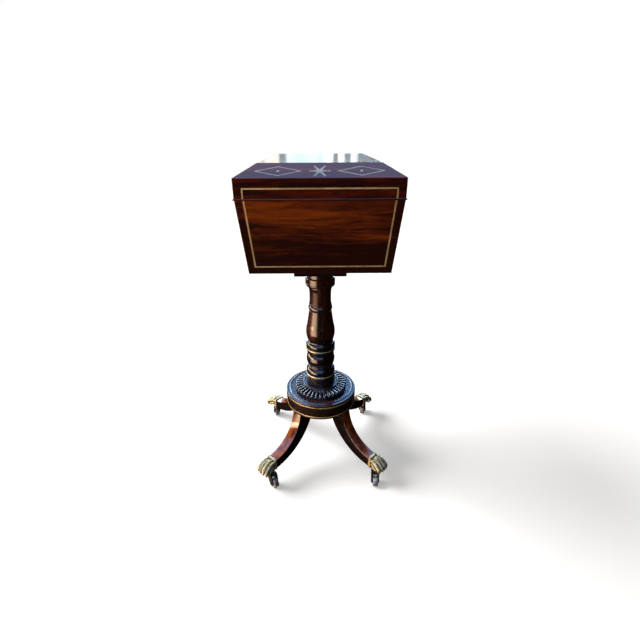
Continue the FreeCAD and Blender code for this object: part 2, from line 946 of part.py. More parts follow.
def canister_knob():
    base_z = canister_top_z + canister_lid_thick
    top_z = base_z + knob_height
    ball_z = top_z - knob_r
    neck_z = ball_z - math.sqrt(knob_r ** 2 - knob_neck_r ** 2)
    points = [
        (0.0, base_z),
        (knob_base_r, base_z),
        (knob_base_r, base_z + 1.2),
        (knob_neck_r, neck_z),
        (knob_r, ball_z, 0.0, top_z),
    ]
    return turned(points).translated(vec(0, sum(canister_y) / 2, 0))


# The whole object, as named pieces

def stand_pieces():
    nodes = {}
    blade = leg()
    cap = paw_cap()
    fork = castor_fork()
    axle = castor_axle()
    wheel = castor_wheel()
    place = [vec(leg_end + paw_band_length / 2, 0, paw_band_low_z)]
    paw_screws, paw_holes = screw_set(place, paw_screw_length, small_screw_head_r, small_screw_shank_r, 1)
    blade = blade.cut(paw_holes)
    cap = cap.cut(paw_holes)
    screws = []
    pintles = []
    for corner, (azimuth, trail) in corners.items():
        nodes["leg_" + corner] = rotated_z(blade, azimuth)
        nodes["paw_cap_" + corner] = rotated_z(cap, azimuth)
        nodes["castor_fork_" + corner] = at_pivot(fork, corner)
        nodes["castor_axle_" + corner] = at_pivot(axle, corner)
        nodes["castor_wheel_" + corner] = at_pivot(wheel, corner)
        screws.append(rotated_z(paw_screws[0], azimuth))
        pintles.append(at_pivot(castor_pintle(), corner))
    nodes["castor_pintles"] = group(pintles)
    nodes["platform"] = platform()
    nodes["platform_brass_lines"] = group(platform_lines())
    nodes["gadrooned_collar"] = gadrooned_collar()
    nodes["column"] = column()
    nodes["column_brass_rings"] = group(column_rings())
    return nodes, screws


def bearer_pieces():
    places = []
    for side_x in (-1, 1):
        for side_y in (-1, 1):
            places.append(vec(side_x * bearer_screw_x, side_y * bearer_screw_y, bearer_base_z))
    screws, holes = screw_set(places, bearer_screw_length, bearer_screw_head_r, bearer_screw_shank_r, 1)
    block = centred_box(bearer_half_x, bearer_half_y, (bearer_base_z, case_base_z))
    hole = cylinder(top_tenon_r + turned_gap, (bearer_base_z - 5, case_base_z + 5))
    nodes = {
        "bearer_block": block.cut([hole] + holes),
        "bearer_screws": group(screws),
        "case_bottom": case_floor().cut(holes),
    }
    return nodes


def case_pieces():
    leaves = []
    pockets = []
    pins = []
    for place_y in hinge_places_y:
        leaves.append(hinge_leaf((0, 2, 4), case_leaf_z, place_y))
        pockets.append(leaf_pocket((case_leaf_z[0], joint_z + 1), place_y))
        pins.append(hinge_pin(place_y))
    hinge_screws, hinge_holes = screw_set(leaf_screw_points(case_leaf_z[1]), small_screw_length,
                                          small_screw_head_r, small_screw_shank_r, -1)
    selvedge_places = []
    for side_y in (-1, 1):
        selvedge_places.append(vec(lock_mid_x() - 1.5, side_y * selvedge_screw_y, joint_z))
    lock_screws, lock_holes = screw_set(selvedge_places, small_screw_length,
                                        small_screw_head_r, small_screw_shank_r, -1)
    string = case_stringing()
    walls = case_block(0.0).cut(case_block(case_wall, 1.0).fuse(case_floor()))
    plate = key_escutcheon()
    cutters = pockets + hinge_holes + lock_holes + [string, lock_pocket(), keyhole(), plate]
    walls = walls.cut(cutters)
    nodes = {
        "case_front_end": walls.common(mitre_wedge("front")),
        "case_back_end": walls.common(mitre_wedge("back")),
        "case_left_side": walls.common(mitre_wedge("left")),
        "case_right_side": walls.common(mitre_wedge("right")),
        "case_stringing": string,
        "hinge_case_leaves": group([leaf.cut(hinge_holes) for leaf in leaves]),
        "hinge_pins": group(pins),
        "lock_case": lock_case().cut(lock_holes),
        "lock_bolt": lock_bolt(),
        "key_escutcheon": plate,
    }
    return nodes, hinge_screws + lock_screws


def lid_pieces():
    leaves = []
    pockets = []
    gaps = []
    for place_y in hinge_places_y:
        leaves.append(hinge_leaf((1, 3), lid_leaf_z, place_y))
        pockets.append(leaf_pocket((joint_z - 1, lid_leaf_z[1]), place_y))
        half = 2.5 * knuckle_pitch + 1.0
        gaps.append(box((lid_half_x - 1, lid_half_x + 10), (place_y - half, place_y + half),
                        (joint_z - 5, joint_z + lip_height + 5)))
    hinge_screws, hinge_holes = screw_set(leaf_screw_points(lid_leaf_z[0]), small_screw_length,
                                          small_screw_head_r, small_screw_shank_r, 1)
    plate_middle = sum(link_plate_x) / 2
    plate_places = [vec(plate_middle, -18.0, joint_z), vec(plate_middle, 0.0, joint_z)]
    plate_screws, plate_holes = screw_set(plate_places, small_screw_length,
                                          small_screw_head_r, small_screw_shank_r, 1)
    plate = link_plate()
    plate_pocket = box(link_plate_x, (-link_plate_half_y, link_plate_half_y),
                       (joint_z - 1, joint_z + link_plate_thick))
    string = lid_stringing()
    inlay = slope_inlay()
    shell = lid_shell().cut(pockets + hinge_holes + plate_holes + [plate_pocket, string, inlay])
    nodes = {
        "lid_rail_front": shell.common(mitre_wedge("front")),
        "lid_rail_back": shell.common(mitre_wedge("back")),
        "lid_rail_left": shell.common(mitre_wedge("left")),
        "lid_rail_right": shell.common(mitre_wedge("right")),
        "lid_top_panel": lid_panel(),
        "lid_lip_moulding": lip_moulding(gaps),
        "lid_stringing": string,
        "lid_slope_inlay": inlay,
        "hinge_lid_leaves": group([leaf.cut(hinge_holes) for leaf in leaves]),
        "lid_screws": group(hinge_screws + plate_screws),
        "lock_link_plate": plate.cut(plate_holes),
    }
    return nodes


def inside_pieces():
    board_front = mirrored_y(partition())
    bowl = glass_bowl()
    tin = canister()
    cover = canister_lid()
    knob = canister_knob()
    return {
        "partitions": group([partition(), board_front]),
        "bowl_board": bowl_board(),
        "glass_bowl_left": bowl.translated(vec(-bowl_x, 0, 0)),
        "glass_bowl_right": bowl.translated(vec(bowl_x, 0, 0)),
        "canister_back": tin,
        "canister_front": mirrored_y(tin),
        "canister_lid_back": cover,
        "canister_lid_front": mirrored_y(cover),
        "canister_knobs": group([knob, mirrored_y(knob)]),
    }


def build():
    nodes, stand_screws = stand_pieces()
    nodes.update(bearer_pieces())
    case_nodes, case_screws = case_pieces()
    nodes.update(case_nodes)
    nodes["brass_screws"] = group(stand_screws + case_screws)
    nodes.update(lid_pieces())
    nodes.update(inside_pieces())
    return nodes


os.makedirs("parts", exist_ok=True)
pieces = build()
for name, shape in pieces.items():
    shape.exportStep("parts/" + name + ".step")
    sound = all(solid.isValid() for solid in shape.Solids)
    print(name, "solids", len(shape.Solids), "volume", round(shape.Volume), "valid", sound)
whole = Part.makeCompound(list(pieces.values())).BoundBox
print("nodes", len(pieces))
print("box", round(whole.XMin, 2), round(whole.XMax, 2), round(whole.YMin, 2), round(whole.YMax, 2),
      round(whole.ZMin, 2), round(whole.ZMax, 2))
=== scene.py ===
import json
import math

import bmesh
import bpy
import numpy
from mathutils import Matrix, Vector


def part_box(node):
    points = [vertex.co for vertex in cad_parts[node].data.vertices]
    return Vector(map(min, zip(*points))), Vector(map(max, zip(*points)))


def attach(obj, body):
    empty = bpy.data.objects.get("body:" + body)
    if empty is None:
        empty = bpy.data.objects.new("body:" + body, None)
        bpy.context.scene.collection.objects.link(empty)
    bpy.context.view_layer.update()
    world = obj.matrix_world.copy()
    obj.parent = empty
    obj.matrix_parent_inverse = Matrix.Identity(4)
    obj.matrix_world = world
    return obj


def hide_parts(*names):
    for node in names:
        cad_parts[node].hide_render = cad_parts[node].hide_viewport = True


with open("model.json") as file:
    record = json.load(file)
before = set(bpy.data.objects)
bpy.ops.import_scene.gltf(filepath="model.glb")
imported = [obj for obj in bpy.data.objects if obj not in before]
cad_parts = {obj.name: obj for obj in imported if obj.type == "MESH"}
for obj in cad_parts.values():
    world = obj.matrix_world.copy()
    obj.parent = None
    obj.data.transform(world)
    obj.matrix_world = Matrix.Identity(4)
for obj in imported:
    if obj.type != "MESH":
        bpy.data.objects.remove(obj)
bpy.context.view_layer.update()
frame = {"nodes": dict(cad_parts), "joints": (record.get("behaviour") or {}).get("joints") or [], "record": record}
nodes = frame["nodes"]
record = frame["record"]
bodyOf = {node: body for body, members in record["behaviour"]["bodies"].items() for node in members}
jointOf = {joint["name"]: joint for joint in frame["joints"]}
corners = ("front_left", "front_right", "back_left", "back_right")
mm = 0.001  # outlines below are in millimetres, as on a maker's drawing
onAxis = 1e-6  # a smaller radius than this is a single point
print("frame loaded,", len(nodes), "nodes")


# Small helpers for shader trees

def addNode(tree, kind, inputs=None, **settings):
    node = tree.nodes.new("ShaderNode" + kind)
    for key, value in settings.items():
        setattr(node, key, value)
    for key, value in (inputs or {}).items():
        if isinstance(value, bpy.types.NodeSocket):
            tree.links.new(value, node.inputs[key])
        else:
            node.inputs[key].default_value = value
    return node


def newGroup(name, inputs, outputs):
    # inputs and outputs: name -> kind
    tree = bpy.data.node_groups.new(name, "ShaderNodeTree")
    for way, sockets in (("INPUT", inputs), ("OUTPUT", outputs)):
        for key, kind in sockets.items():
            tree.interface.new_socket(name=key, in_out=way, socket_type="NodeSocket" + kind)
    return tree, tree.nodes.new("NodeGroupInput").outputs, tree.nodes.new("NodeGroupOutput").inputs


def placeGroup(tree, name, inputs):
    return addNode(tree, "Group", inputs, node_tree=bpy.data.node_groups[name]).outputs


def math2(tree, operation, a, b=0.0, clamp=False):
    return addNode(tree, "Math", {0: a, 1: b}, operation=operation, use_clamp=clamp).outputs[0]


def plus(tree, a, b):
    return math2(tree, "ADD", a, b)


def minus(tree, a, b, clamp=False):
    return math2(tree, "SUBTRACT", a, b, clamp)


def times(tree, a, b, clamp=False):
    return math2(tree, "MULTIPLY", a, b, clamp)


def vector2(tree, operation, a, b):
    return addNode(tree, "VectorMath", {0: a, 1: b}, operation=operation).outputs[0]


def grown(tree, vector, size):
    return addNode(tree, "VectorMath", {0: vector, "Scale": size}, operation="SCALE").outputs[0]


def spread(tree, value, low, high, toLow=0.0, toHigh=1.0, smooth=True):
    kind = "SMOOTHSTEP" if smooth else "LINEAR"
    inputs = {"Value": value, "From Min": low, "From Max": high, "To Min": toLow, "To Max": toHigh}
    return addNode(tree, "MapRange", inputs, interpolation_type=kind).outputs["Result"]


def bandMask(tree, value, low, high, soft):
    rise = spread(tree, value, low - soft / 2, low + soft / 2)
    fall = spread(tree, value, high - soft / 2, high + soft / 2, 1.0, 0.0)
    return times(tree, rise, fall)


def blendColour(tree, factor, a, b, mode="MIX"):
    return addNode(tree, "Mix", {0: factor, 6: a, 7: b}, data_type="RGBA", blend_type=mode).outputs[2]


def noise(tree, vector, scale, detail=2.0, rough=0.5, twist=0.0):
    inputs = {"Vector": vector, "Scale": scale, "Detail": detail, "Roughness": rough,
              "Distortion": twist}
    return addNode(tree, "TexNoise", inputs).outputs


def stretch(tree, vector, scale, shift=(0, 0, 0), turn=(0, 0, 0)):
    inputs = {"Vector": vector, "Scale": scale, "Location": shift, "Rotation": turn}
    return addNode(tree, "Mapping", inputs).outputs[0]


def streaky(tree, vector, scale, detail=2.0, rough=0.5, twist=0.0):
    return noise(tree, stretch(tree, vector, scale), 1.0, detail, rough, twist)["Fac"]


def coordinate(tree, kind):
    return addNode(tree, "TexCoord").outputs[kind]


def split(tree, vector):
    return addNode(tree, "SeparateXYZ", {0: vector}).outputs


def addBump(tree, height, strength, distance):
    inputs = {"Height": height, "Strength": strength, "Distance": distance}
    return addNode(tree, "Bump", inputs).outputs[0]


def feed(tree, sources, sockets):
    for key, source in sources.items():
        tree.links.new(source, sockets[key])


def rgba(colour):
    return (*colour, 1.0)


# Effects that several finishes share. The figure runs along the group's X.

woodFigure = {
    # features per metre along and across the grain
    "drift": (5.0, 16.0, 16.0),
    "streaks": (3.4, 62.0, 62.0),
    "bands": (1.5, 17.0, 17.0),
    "lines": (6.0, 340.0, 340.0),
    "pores": (75.0, 1500.0, 1500.0),
    # how far the drift moves them, and how much each one tells
    "driftReach": (0.0, 0.03, 0.03),
    "streakShare": 0.55,
    "bandShare": 0.45,
    "lineShare": 0.36,
    "darkening": 0.3,
    "poreShade": 0.5,
}


def buildRosewoodFigure():
    inputs = {
        "Vector": "Vector", "Light": "Color", "Middle": "Color", "Dark": "Color",
        "Coarseness": "Float", "Waviness": "Float", "Darkness": "Float", "Contrast": "Float",
    }
    tree, given, made = newGroup("rosewoodFigure", inputs, {"Color": "Color", "Fibres": "Float"})
    place = grown(tree, given["Vector"], given["Coarseness"])
    drift = noise(tree, stretch(tree, place, woodFigure["drift"]), 1.0, 2.0)["Color"]
    centred = vector2(tree, "SUBTRACT", drift, (0.5, 0.5, 0.5))
    across = vector2(tree, "MULTIPLY", centred, woodFigure["driftReach"])
    wavy = vector2(tree, "ADD", place, grown(tree, across, given["Waviness"]))
    streaks = streaky(tree, wavy, woodFigure["streaks"], 5.0, 0.62, 0.4)
    bands = streaky(tree, wavy, woodFigure["bands"], 2.0, 0.5, 0.3)
    lines = streaky(tree, wavy, woodFigure["lines"], 3.0, 0.6)
    pores = streaky(tree, place, woodFigure["pores"], 1.0)
    tone = times(tree, streaks, woodFigure["streakShare"])
    tone = plus(tree, tone, times(tree, bands, woodFigure["bandShare"]))
    tone = plus(tree, tone, times(tree, minus(tree, lines, 0.5), woodFigure["lineShare"]))
    tone = plus(tree, times(tree, minus(tree, tone, 0.5), given["Contrast"]), 0.5)
    darker = times(tree, minus(tree, given["Darkness"], 0.5), woodFigure["darkening"])
    tone = minus(tree, tone, darker)
    lower = blendColour(tree, spread(tree, tone, 0.36, 0.5), given["Dark"], given["Middle"])
    colour = blendColour(tree, spread(tree, tone, 0.46, 0.68), lower, given["Light"])
    poreMask = spread(tree, pores, 0.60, 0.70)
    shade = spread(tree, poreMask, 0.0, 1.0, 1.0, woodFigure["poreShade"], False)
    shadeColour = addNode(tree, "CombineColor", {0: shade, 1: shade, 2: shade}).outputs[0]
    colour = blendColour(tree, 1.0, colour, shadeColour, "MULTIPLY")
    fibres = minus(tree, times(tree, lines, 0.6), times(tree, poreMask, 0.8))
    feed(tree, {"Color": colour, "Fibres": fibres}, made)


def buildEdgeRub():
    # 1 where a rounded edge would catch the duster, 0 on the flat
    inputs = {"Radius": "Float", "Wear": "Float"}
    tree, given, made = newGroup("edgeRub", inputs, {"Mask": "Float"})
    soft = addNode(tree, "Bevel", {"Radius": given["Radius"]}, samples=4).outputs[0]
    flat = addNode(tree, "NewGeometry").outputs["Normal"]
    same = addNode(tree, "VectorMath", {0: soft, 1: flat}, operation="DOT_PRODUCT").outputs["Value"]
    edge = spread(tree, same, 0.995, 0.90)
    patchy = noise(tree, coordinate(tree, "Object"), 90.0, 3.0)["Fac"]
    worn = times(tree, edge, spread(tree, patchy, 0.3, 0.7, 0.35, 1.0))
    tree.links.new(times(tree, worn, given["Wear"], True), made["Mask"])


def buildHollowShadeAndDirt():
    # 1 in corners and hollows that ambient occlusion finds: where old wax and soiling stay, and painted shade
    inputs = {"Reach": "Float", "Amount": "Float"}
    tree, given, made = newGroup("hollowShadeAndDirt", inputs, {"Mask": "Float"})
    exposed = addNode(tree, "AmbientOcclusion", {"Distance": given["Reach"]}, samples=6).outputs["AO"]
    patchy = noise(tree, coordinate(tree, "Object"), 140.0, 3.0)["Fac"]
    ragged = plus(tree, exposed, times(tree, minus(tree, patchy, 0.5), 0.25))
    shadedHollow = spread(tree, ragged, 0.85, 0.35)
    tree.links.new(times(tree, shadedHollow, given["Amount"], True), made["Mask"])


def buildHandPolish():
    # Faint rubbed patches and smears in the gloss
    inputs = {"Vector": "Vector", "Low": "Float", "High": "Float"}
    tree, given, made = newGroup("handPolish", inputs, {"Value": "Float"})
    broad = noise(tree, given["Vector"], 9.0, 3.0, 0.6)["Fac"]
    smears = streaky(tree, given["Vector"], (20.0, 130.0, 60.0), 4.0)
    mixed = plus(tree, times(tree, broad, 0.65), times(tree, smears, 0.35))
    rough = spread(tree, mixed, 0.32, 0.68, given["Low"], given["High"], False)
    tree.links.new(rough, made["Value"])


def buildBrassTone():
    # Old brass: brighter where rubbed, brown to olive where it has dulled, and dark in hollows with patina,
    # soiling and painted shade
    inputs = {
        "Vector": "Vector", "Bright": "Color", "Dull": "Color", "ShadeAndDirtColour": "Color",
        "ShadeAndDirtMask": "Float", "Rub": "Float", "Size": "Float",
    }
    tree, given, made = newGroup("brassTone", inputs, {"Color": "Color", "Dullness": "Float"})
    cloud = noise(tree, given["Vector"], given["Size"], 4.0, 0.6)["Fac"]
    speck = noise(tree, given["Vector"], 900.0, 2.0)["Fac"]
    dull = plus(tree, spread(tree, cloud, 0.35, 0.7), times(tree, speck, 0.25))
    dull = minus(tree, dull, given["Rub"], True)
    metal = blendColour(tree, dull, given["Bright"], given["Dull"])
    colour = blendColour(tree, given["ShadeAndDirtMask"], metal, given["ShadeAndDirtColour"])
    feed(tree, {"Color": colour, "Dullness": math2(tree, "MAXIMUM", dull, given["ShadeAndDirtMask"])}, made)


buildRosewoodFigure()
buildEdgeRub()
buildHollowShadeAndDirt()
buildHandPolish()
buildBrassTone()
print("shared shader groups built")


# Finishes

def threeTones(light, middle, dark):
    return {"light": light, "middle": middle, "dark": dark}


rosewoodTones = threeTones((0.33, 0.054, 0.003), (0.12, 0.017, 0.003), (0.030, 0.005, 0.003))
turnedTones = threeTones((0.15, 0.036, 0.012), (0.055, 0.013, 0.006), (0.012, 0.005, 0.004))
platformTones = threeTones((0.055, 0.020, 0.013), (0.022, 0.010, 0.008), (0.007, 0.005, 0.005))
legTones = threeTones((0.52, 0.14, 0.008), (0.18, 0.036, 0.005), (0.012, 0.005, 0.004))
lidTones = threeTones((0.21, 0.022, 0.003), (0.10, 0.010, 0.002), (0.025, 0.003, 0.002))
mahoganyTones = threeTones((0.30, 0.11, 0.045), (0.19, 0.06, 0.024), (0.075, 0.024, 0.012))
ebonyTones = threeTones((0.035, 0.028, 0.024), (0.018, 0.014, 0.012), (0.008, 0.007, 0.006))
grainAlong = {
    "x": (0.0, 0.0, 0.0),
    "y": (0.0, 0.0, math.radians(90)),
    "z": (0.0, math.radians(90), 0.0),
    "leg": (0.0, math.radians(42), 0.0),
}
# Wear and relief that the finishes share, lengths in metres
touch = {
    "woodEdge": 0.0012,
    "woodCorner": 0.007,
    "brassEdge": 0.0008,
    # strength and depth of the relief
    "fibres": (0.25, 0.0002),
    "scratches": (0.12, 0.00008),
    "ripple": (0.1, 0.0002),
    # how softly the band with the thinned coat (painted shade on its reflection) ends, and the share of the coat
    # that is left on it
    "dimmedCoatBand": (0.012, 0.25),
}


def newMaterial(name, fixed):
    material = bpy.data.materials.new(name)
    material.use_nodes = True
    sockets = material.node_tree.nodes["Principled BSDF"].inputs
    for key, value in fixed.items():
        sockets[key].default_value = value
    return material, material.node_tree, sockets


def boardShade(tree, place, shade, darkness):
    # Darker below a wavy line that falls towards +X, and darker towards +X
    x, y, z = split(tree, place)
    clouded = stretch(tree, place, shade["cloud"], (0.3, 0.0, 0.1))
    cloud = noise(tree, clouded, 1.0, 2.0, 0.5, 0.5)["Fac"]
    wavy = times(tree, minus(tree, cloud, 0.5), shade["waves"])
    height = plus(tree, minus(tree, z, shade["middleZ"]), wavy)
    height = plus(tree, height, times(tree, x, shade["tilt"]))
    below = spread(tree, height, -shade["soft"], shade["soft"], shade["lower"], 0.0)
    total = plus(tree, plus(tree, times(tree, x, shade["acrossX"]), below), darkness)
    if "border" not in shade:
        return total
    # The banding outside the stringing, which leans as the case does, is a darker veneer
    border = shade["border"]
    seam = border["seam"] / 2
    line = plus(tree, times(tree, minus(tree, z, border["base"]), border["lean"]), border["half"])
    outside = spread(tree, minus(tree, math2(tree, "ABSOLUTE", x), line), -seam, seam)
    under = spread(tree, z, border["base"] + seam, border["base"] - seam)
    return plus(tree, total, times(tree, math2(tree, "MAXIMUM", outside, under), border["darker"]))


def paintedSideShade(tree, side, darkness):
    # Painted shade: the flat sides of a leg are darker than its outer face. side holds how much
    across = split(tree, coordinate(tree, "Normal"))[1]
    sideways = spread(tree, math2(tree, "ABSOLUTE", across), 0.4, 0.9)
    return plus(tree, times(tree, sideways, side), darkness)


def polishedWood(name, grain, shift=(0, 0, 0), tones=rosewoodTones, coarseness=1.0, waviness=1.0,
                 darkness=0.5, contrast=1.0, shade=None, side=None, dimmedCoatBand=None, low=0.28, high=0.45,
                 coat=1.0, coatRough=0.05, coatIor=1.5, rub=0.35, shadeAndDirtAmount=0.7):
    material, tree, sockets = newMaterial(name, {
        "Coat Weight": coat, "Coat Roughness": coatRough, "Coat IOR": coatIor,
        "Specular IOR Level": 0.04})
    place = coordinate(tree, "Object")
    along = stretch(tree, place, (1, 1, 1), shift, grainAlong[grain])
    if shade:
        darkness = boardShade(tree, place, shade, darkness)
    # Painted shade on faces that point sideways
    if side:
        darkness = paintedSideShade(tree, side, darkness)
    figure = placeGroup(tree, "rosewoodFigure", {
        "Vector": along, "Light": rgba(tones["light"]), "Middle": rgba(tones["middle"]),
        "Dark": rgba(tones["dark"]), "Coarseness": coarseness, "Waviness": waviness,
        "Darkness": darkness, "Contrast": contrast})
    edge = placeGroup(tree, "edgeRub", {"Radius": touch["woodEdge"], "Wear": rub})["Mask"]
    # Darker colour in corners and hollows: soiling, and painted shade where they are occluded
    shadeAndDirt = placeGroup(tree, "hollowShadeAndDirt", {"Reach": touch["woodCorner"], "Amount": shadeAndDirtAmount})["Mask"]
    rubbed = rgba([min(1.0, level * 1.5 + 0.01) for level in tones["light"]])
    colour = blendColour(tree, edge, figure["Color"], rubbed)
    colour = blendColour(tree, shadeAndDirt, colour, rgba([level * 0.35 for level in tones["dark"]]))
    gloss = placeGroup(tree, "handPolish", {"Vector": place, "Low": low, "High": high})["Value"]
    bump = addBump(tree, figure["Fibres"], *touch["fibres"])
    feed(tree, {"Base Color": colour, "Roughness": gloss, "Normal": bump}, sockets)
    if dimmedCoatBand:
        # On this band the coat is thinned, which dims its reflection: painted shade
        soft, left = touch["dimmedCoatBand"]
        thin = bandMask(tree, split(tree, place)[2], *dimmedCoatBand, soft)
        thinned = spread(tree, thin, 0.0, 1.0, coat, coat * left, False)
        tree.links.new(thinned, sockets["Coat Weight"])
    return material


def oldBrass(name, bright, dull, shadeAndDirt=(0.03, 0.02, 0.012), metallic=0.8, low=0.25, high=0.5,
             size=60.0, reach=0.004, shadeAndDirtAmount=0.9, wear=0.6, coat=0.0):
    fixed = {"Metallic": metallic, "Coat Weight": coat, "Coat Roughness": 0.1}
    material, tree, sockets = newMaterial(name, fixed)
    place = coordinate(tree, "Object")
    # Darker in hollows: patina and soiling, and painted shade where they are occluded
    shadedHollow = placeGroup(tree, "hollowShadeAndDirt", {"Reach": reach, "Amount": shadeAndDirtAmount})["Mask"]
    edge = placeGroup(tree, "edgeRub", {"Radius": touch["brassEdge"], "Wear": wear})["Mask"]
    tone = placeGroup(tree, "brassTone", {
        "Vector": place, "Bright": rgba(bright), "Dull": rgba(dull), "ShadeAndDirtColour": rgba(shadeAndDirt),
        "ShadeAndDirtMask": shadedHollow, "Rub": edge, "Size": size})
    rough = spread(tree, tone["Dullness"], 0.0, 1.0, low, high, False)
    scratches = streaky(tree, place, (400.0, 1400.0, 900.0))
    bump = addBump(tree, scratches, *touch["scratches"])
    feed(tree, {"Base Color": tone["Color"], "Roughness": rough, "Normal": bump}, sockets)
    return material


def clearGlass(name):
    material, tree, sockets = newMaterial(name, {"Transmission Weight": 1.0, "IOR": 1.5})
    seeds = noise(tree, coordinate(tree, "Object"), 60.0, 2.0)["Fac"]
    tint = blendColour(tree, seeds, (0.93, 0.97, 0.95, 1), (0.98, 1.0, 0.99, 1))
    rough = spread(tree, seeds, 0.3, 0.7, 0.01, 0.05, False)
    ripple = addBump(tree, seeds, *touch["ripple"])
    feed(tree, {"Base Color": tint, "Roughness": rough, "Normal": ripple}, sockets)
    return material


endShade = {
    "acrossX": 1.6, "middleZ": 0.641, "tilt": 0.10, "soft": 0.016, "lower": 0.6, "waves": 0.05,
    "cloud": (9.0, 9.0, 26.0),
    "border": {"half": 0.115, "base": 0.5846, "lean": 0.1087, "darker": 0.55, "seam": 0.001},
}
# The rings and the drum are darker than the vase
turnedShade = {
    "acrossX": 0.0, "middleZ": 0.345, "tilt": 0.0, "soft": 0.01, "lower": 0.6, "waves": 0.0,
    "cloud": (9.0, 9.0, 26.0),
}
finishes = {
    "ends": polishedWood("rosewood_ends", "x", shift=(0.21, 0.0, 0.13), darkness=0.40, contrast=0.95,
                         coarseness=1.6, waviness=1.2, shade=endShade),
    "sides": polishedWood("rosewood_sides", "y", shift=(0.0, 0.37, 0.05)),
    "lid_ends": polishedWood("rosewood_lid_ends", "x", shift=(0.5, 0.2, 0.0), tones=lidTones,
                             darkness=0.80, coarseness=1.6),
    "lid_sides": polishedWood("rosewood_lid_sides", "y", shift=(0.1, 0.9, 0.4), tones=lidTones,
                              darkness=0.6),
    "top": polishedWood("rosewood_top", "y", shift=(0.3, 0.1, 0.2), low=0.2, high=0.3, coatRough=0.03),
    "turned": polishedWood("rosewood_turned", "z", shift=(0.0, 0.0, 0.6), tones=turnedTones,
                           # the neck's thinned coat is painted shade on its reflection
                           darkness=0.6, coarseness=1.3, shade=turnedShade, dimmedCoatBand=(0.432, 0.474),
                           coatRough=0.09, rub=0.1),
    "platform": polishedWood("rosewood_platform", "x", shift=(0.7, 0.3, 0.1), tones=platformTones,
                             rub=0.15, coatIor=1.8),
    "collar": polishedWood("rosewood_collar", "x", shift=(0.2, 0.8, 0.1), tones=platformTones, rub=0.1,
                           shadeAndDirtAmount=1.0, coatIor=1.7),
    # side sets the painted shade on the legs' flat sides
    "leg": polishedWood("rosewood_leg", "leg", shift=(0.0, 0.0, 0.25), tones=legTones, side=2.0,
                        coatIor=1.6),
    "mahogany": polishedWood("mahogany_inside", "y", tones=mahoganyTones, coat=0.25, low=0.4, high=0.55),
    "ebony": polishedWood("ebony_knob", "z", tones=ebonyTones, rub=0.2),
    "inlay": oldBrass("brass_inlay", (0.78, 0.55, 0.24), (0.44, 0.27, 0.09), metallic=0.35, low=0.35,
                      high=0.55, size=45.0, shadeAndDirtAmount=0.25, coat=0.6),
    "motif": oldBrass("brass_motif", (0.42, 0.46, 0.40), (0.20, 0.22, 0.20), metallic=0.15, low=0.2,
                      high=0.4, size=120.0, shadeAndDirtAmount=0.1, coat=0.5),
    "ring": oldBrass("brass_ring", (0.85, 0.74, 0.42), (0.50, 0.38, 0.15), metallic=0.6, high=0.45),
    "cast": oldBrass("brass_cast", (0.64, 0.51, 0.27), (0.25, 0.20, 0.09), shadeAndDirt=(0.012, 0.011, 0.010),
                     metallic=0.45, low=0.35, high=0.55, size=110.0, reach=0.005, shadeAndDirtAmount=1.0, wear=0.9),
    "hardware": oldBrass("brass_hardware", (0.75, 0.55, 0.25), (0.40, 0.27, 0.10), metallic=0.85),
    "castor": oldBrass("castor_metal", (0.10, 0.10, 0.085), (0.025, 0.024, 0.02), metallic=0.7, low=0.3),
    "wheel": oldBrass("castor_wheel", (0.55, 0.52, 0.47), (0.24, 0.21, 0.17), metallic=0.5, low=0.35,
                      high=0.55),
    "steel": oldBrass("steel_screw", (0.5, 0.49, 0.47), (0.2, 0.17, 0.14), metallic=0.9),
    "glass": clearGlass("bowl_glass"),
}
print("finishes built:", len(finishes))


# Small helpers for shapes

def arcPoints(start, through, end, steps):
    (ax, ay), (bx, by), (cx, cy) = start, through, end
    twice = 2 * (ax * (by - cy) + bx * (cy - ay) + cx * (ay - by))
    a2, b2, c2 = ax * ax + ay * ay, bx * bx + by * by, cx * cx + cy * cy
    ux = (a2 * (by - cy) + b2 * (cy - ay) + c2 * (ay - by)) / twice
    uy = (a2 * (cx - bx) + b2 * (ax - cx) + c2 * (bx - ax)) / twice
    radius = math.hypot(ax - ux, ay - uy)
    angles = [math.atan2(y - uy, x - ux) for x, y in (start, through, end)]
    turn = sum(math.remainder(after - before, math.tau) for before, after in zip(angles, angles[1:]))
    points = []
    for step in range(1, steps + 1):
        angle = angles[0] + turn * step / steps
        points.append((ux + radius * math.cos(angle), uy + radius * math.sin(angle)))
    return points


def expandOutline(outline, steps=8):
    # (r, z) is a straight run, (through r, through z, r, z) is an arc
    points = [outline[0]]
    for step in outline[1:]:
        if len(step) == 4:
            points += arcPoints(points[-1], step[:2], step[2:], steps)
        else:
            points.append(step)
    return points


def addObject(name, data):
    thing = bpy.data.objects.new(name, data)
    bpy.context.scene.collection.objects.link(thing)
    return thing


def newPiece(name, mesh, finish, node, sharpAngle=30.0, location=(0.0, 0.0, 0.0), turn=0.0):
    # A finer piece that stands for a node of the frame and rides on its body
    piece = addObject(name, mesh)
    piece.location = location
    piece.rotation_euler.z = turn
    if not mesh.materials:
        mesh.materials.append(finishes[finish])
    if sharpAngle:
        mesh.shade_smooth()
        mesh.set_sharp_from_angle(angle=math.radians(sharpAngle))
    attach(piece, bodyOf[node])
    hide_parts(node)
    return piece


def circle(count):
    # (cosine, sine) of evenly spaced angles
    angles = [math.tau * index / count for index in range(count)]
    return [(math.cos(angle), math.sin(angle)) for angle in angles]


def pourInto(bm, mesh, place=Matrix.Identity(4)):
    mesh.transform(place)
    bm.from_mesh(mesh)
    bpy.data.meshes.remove(mesh)


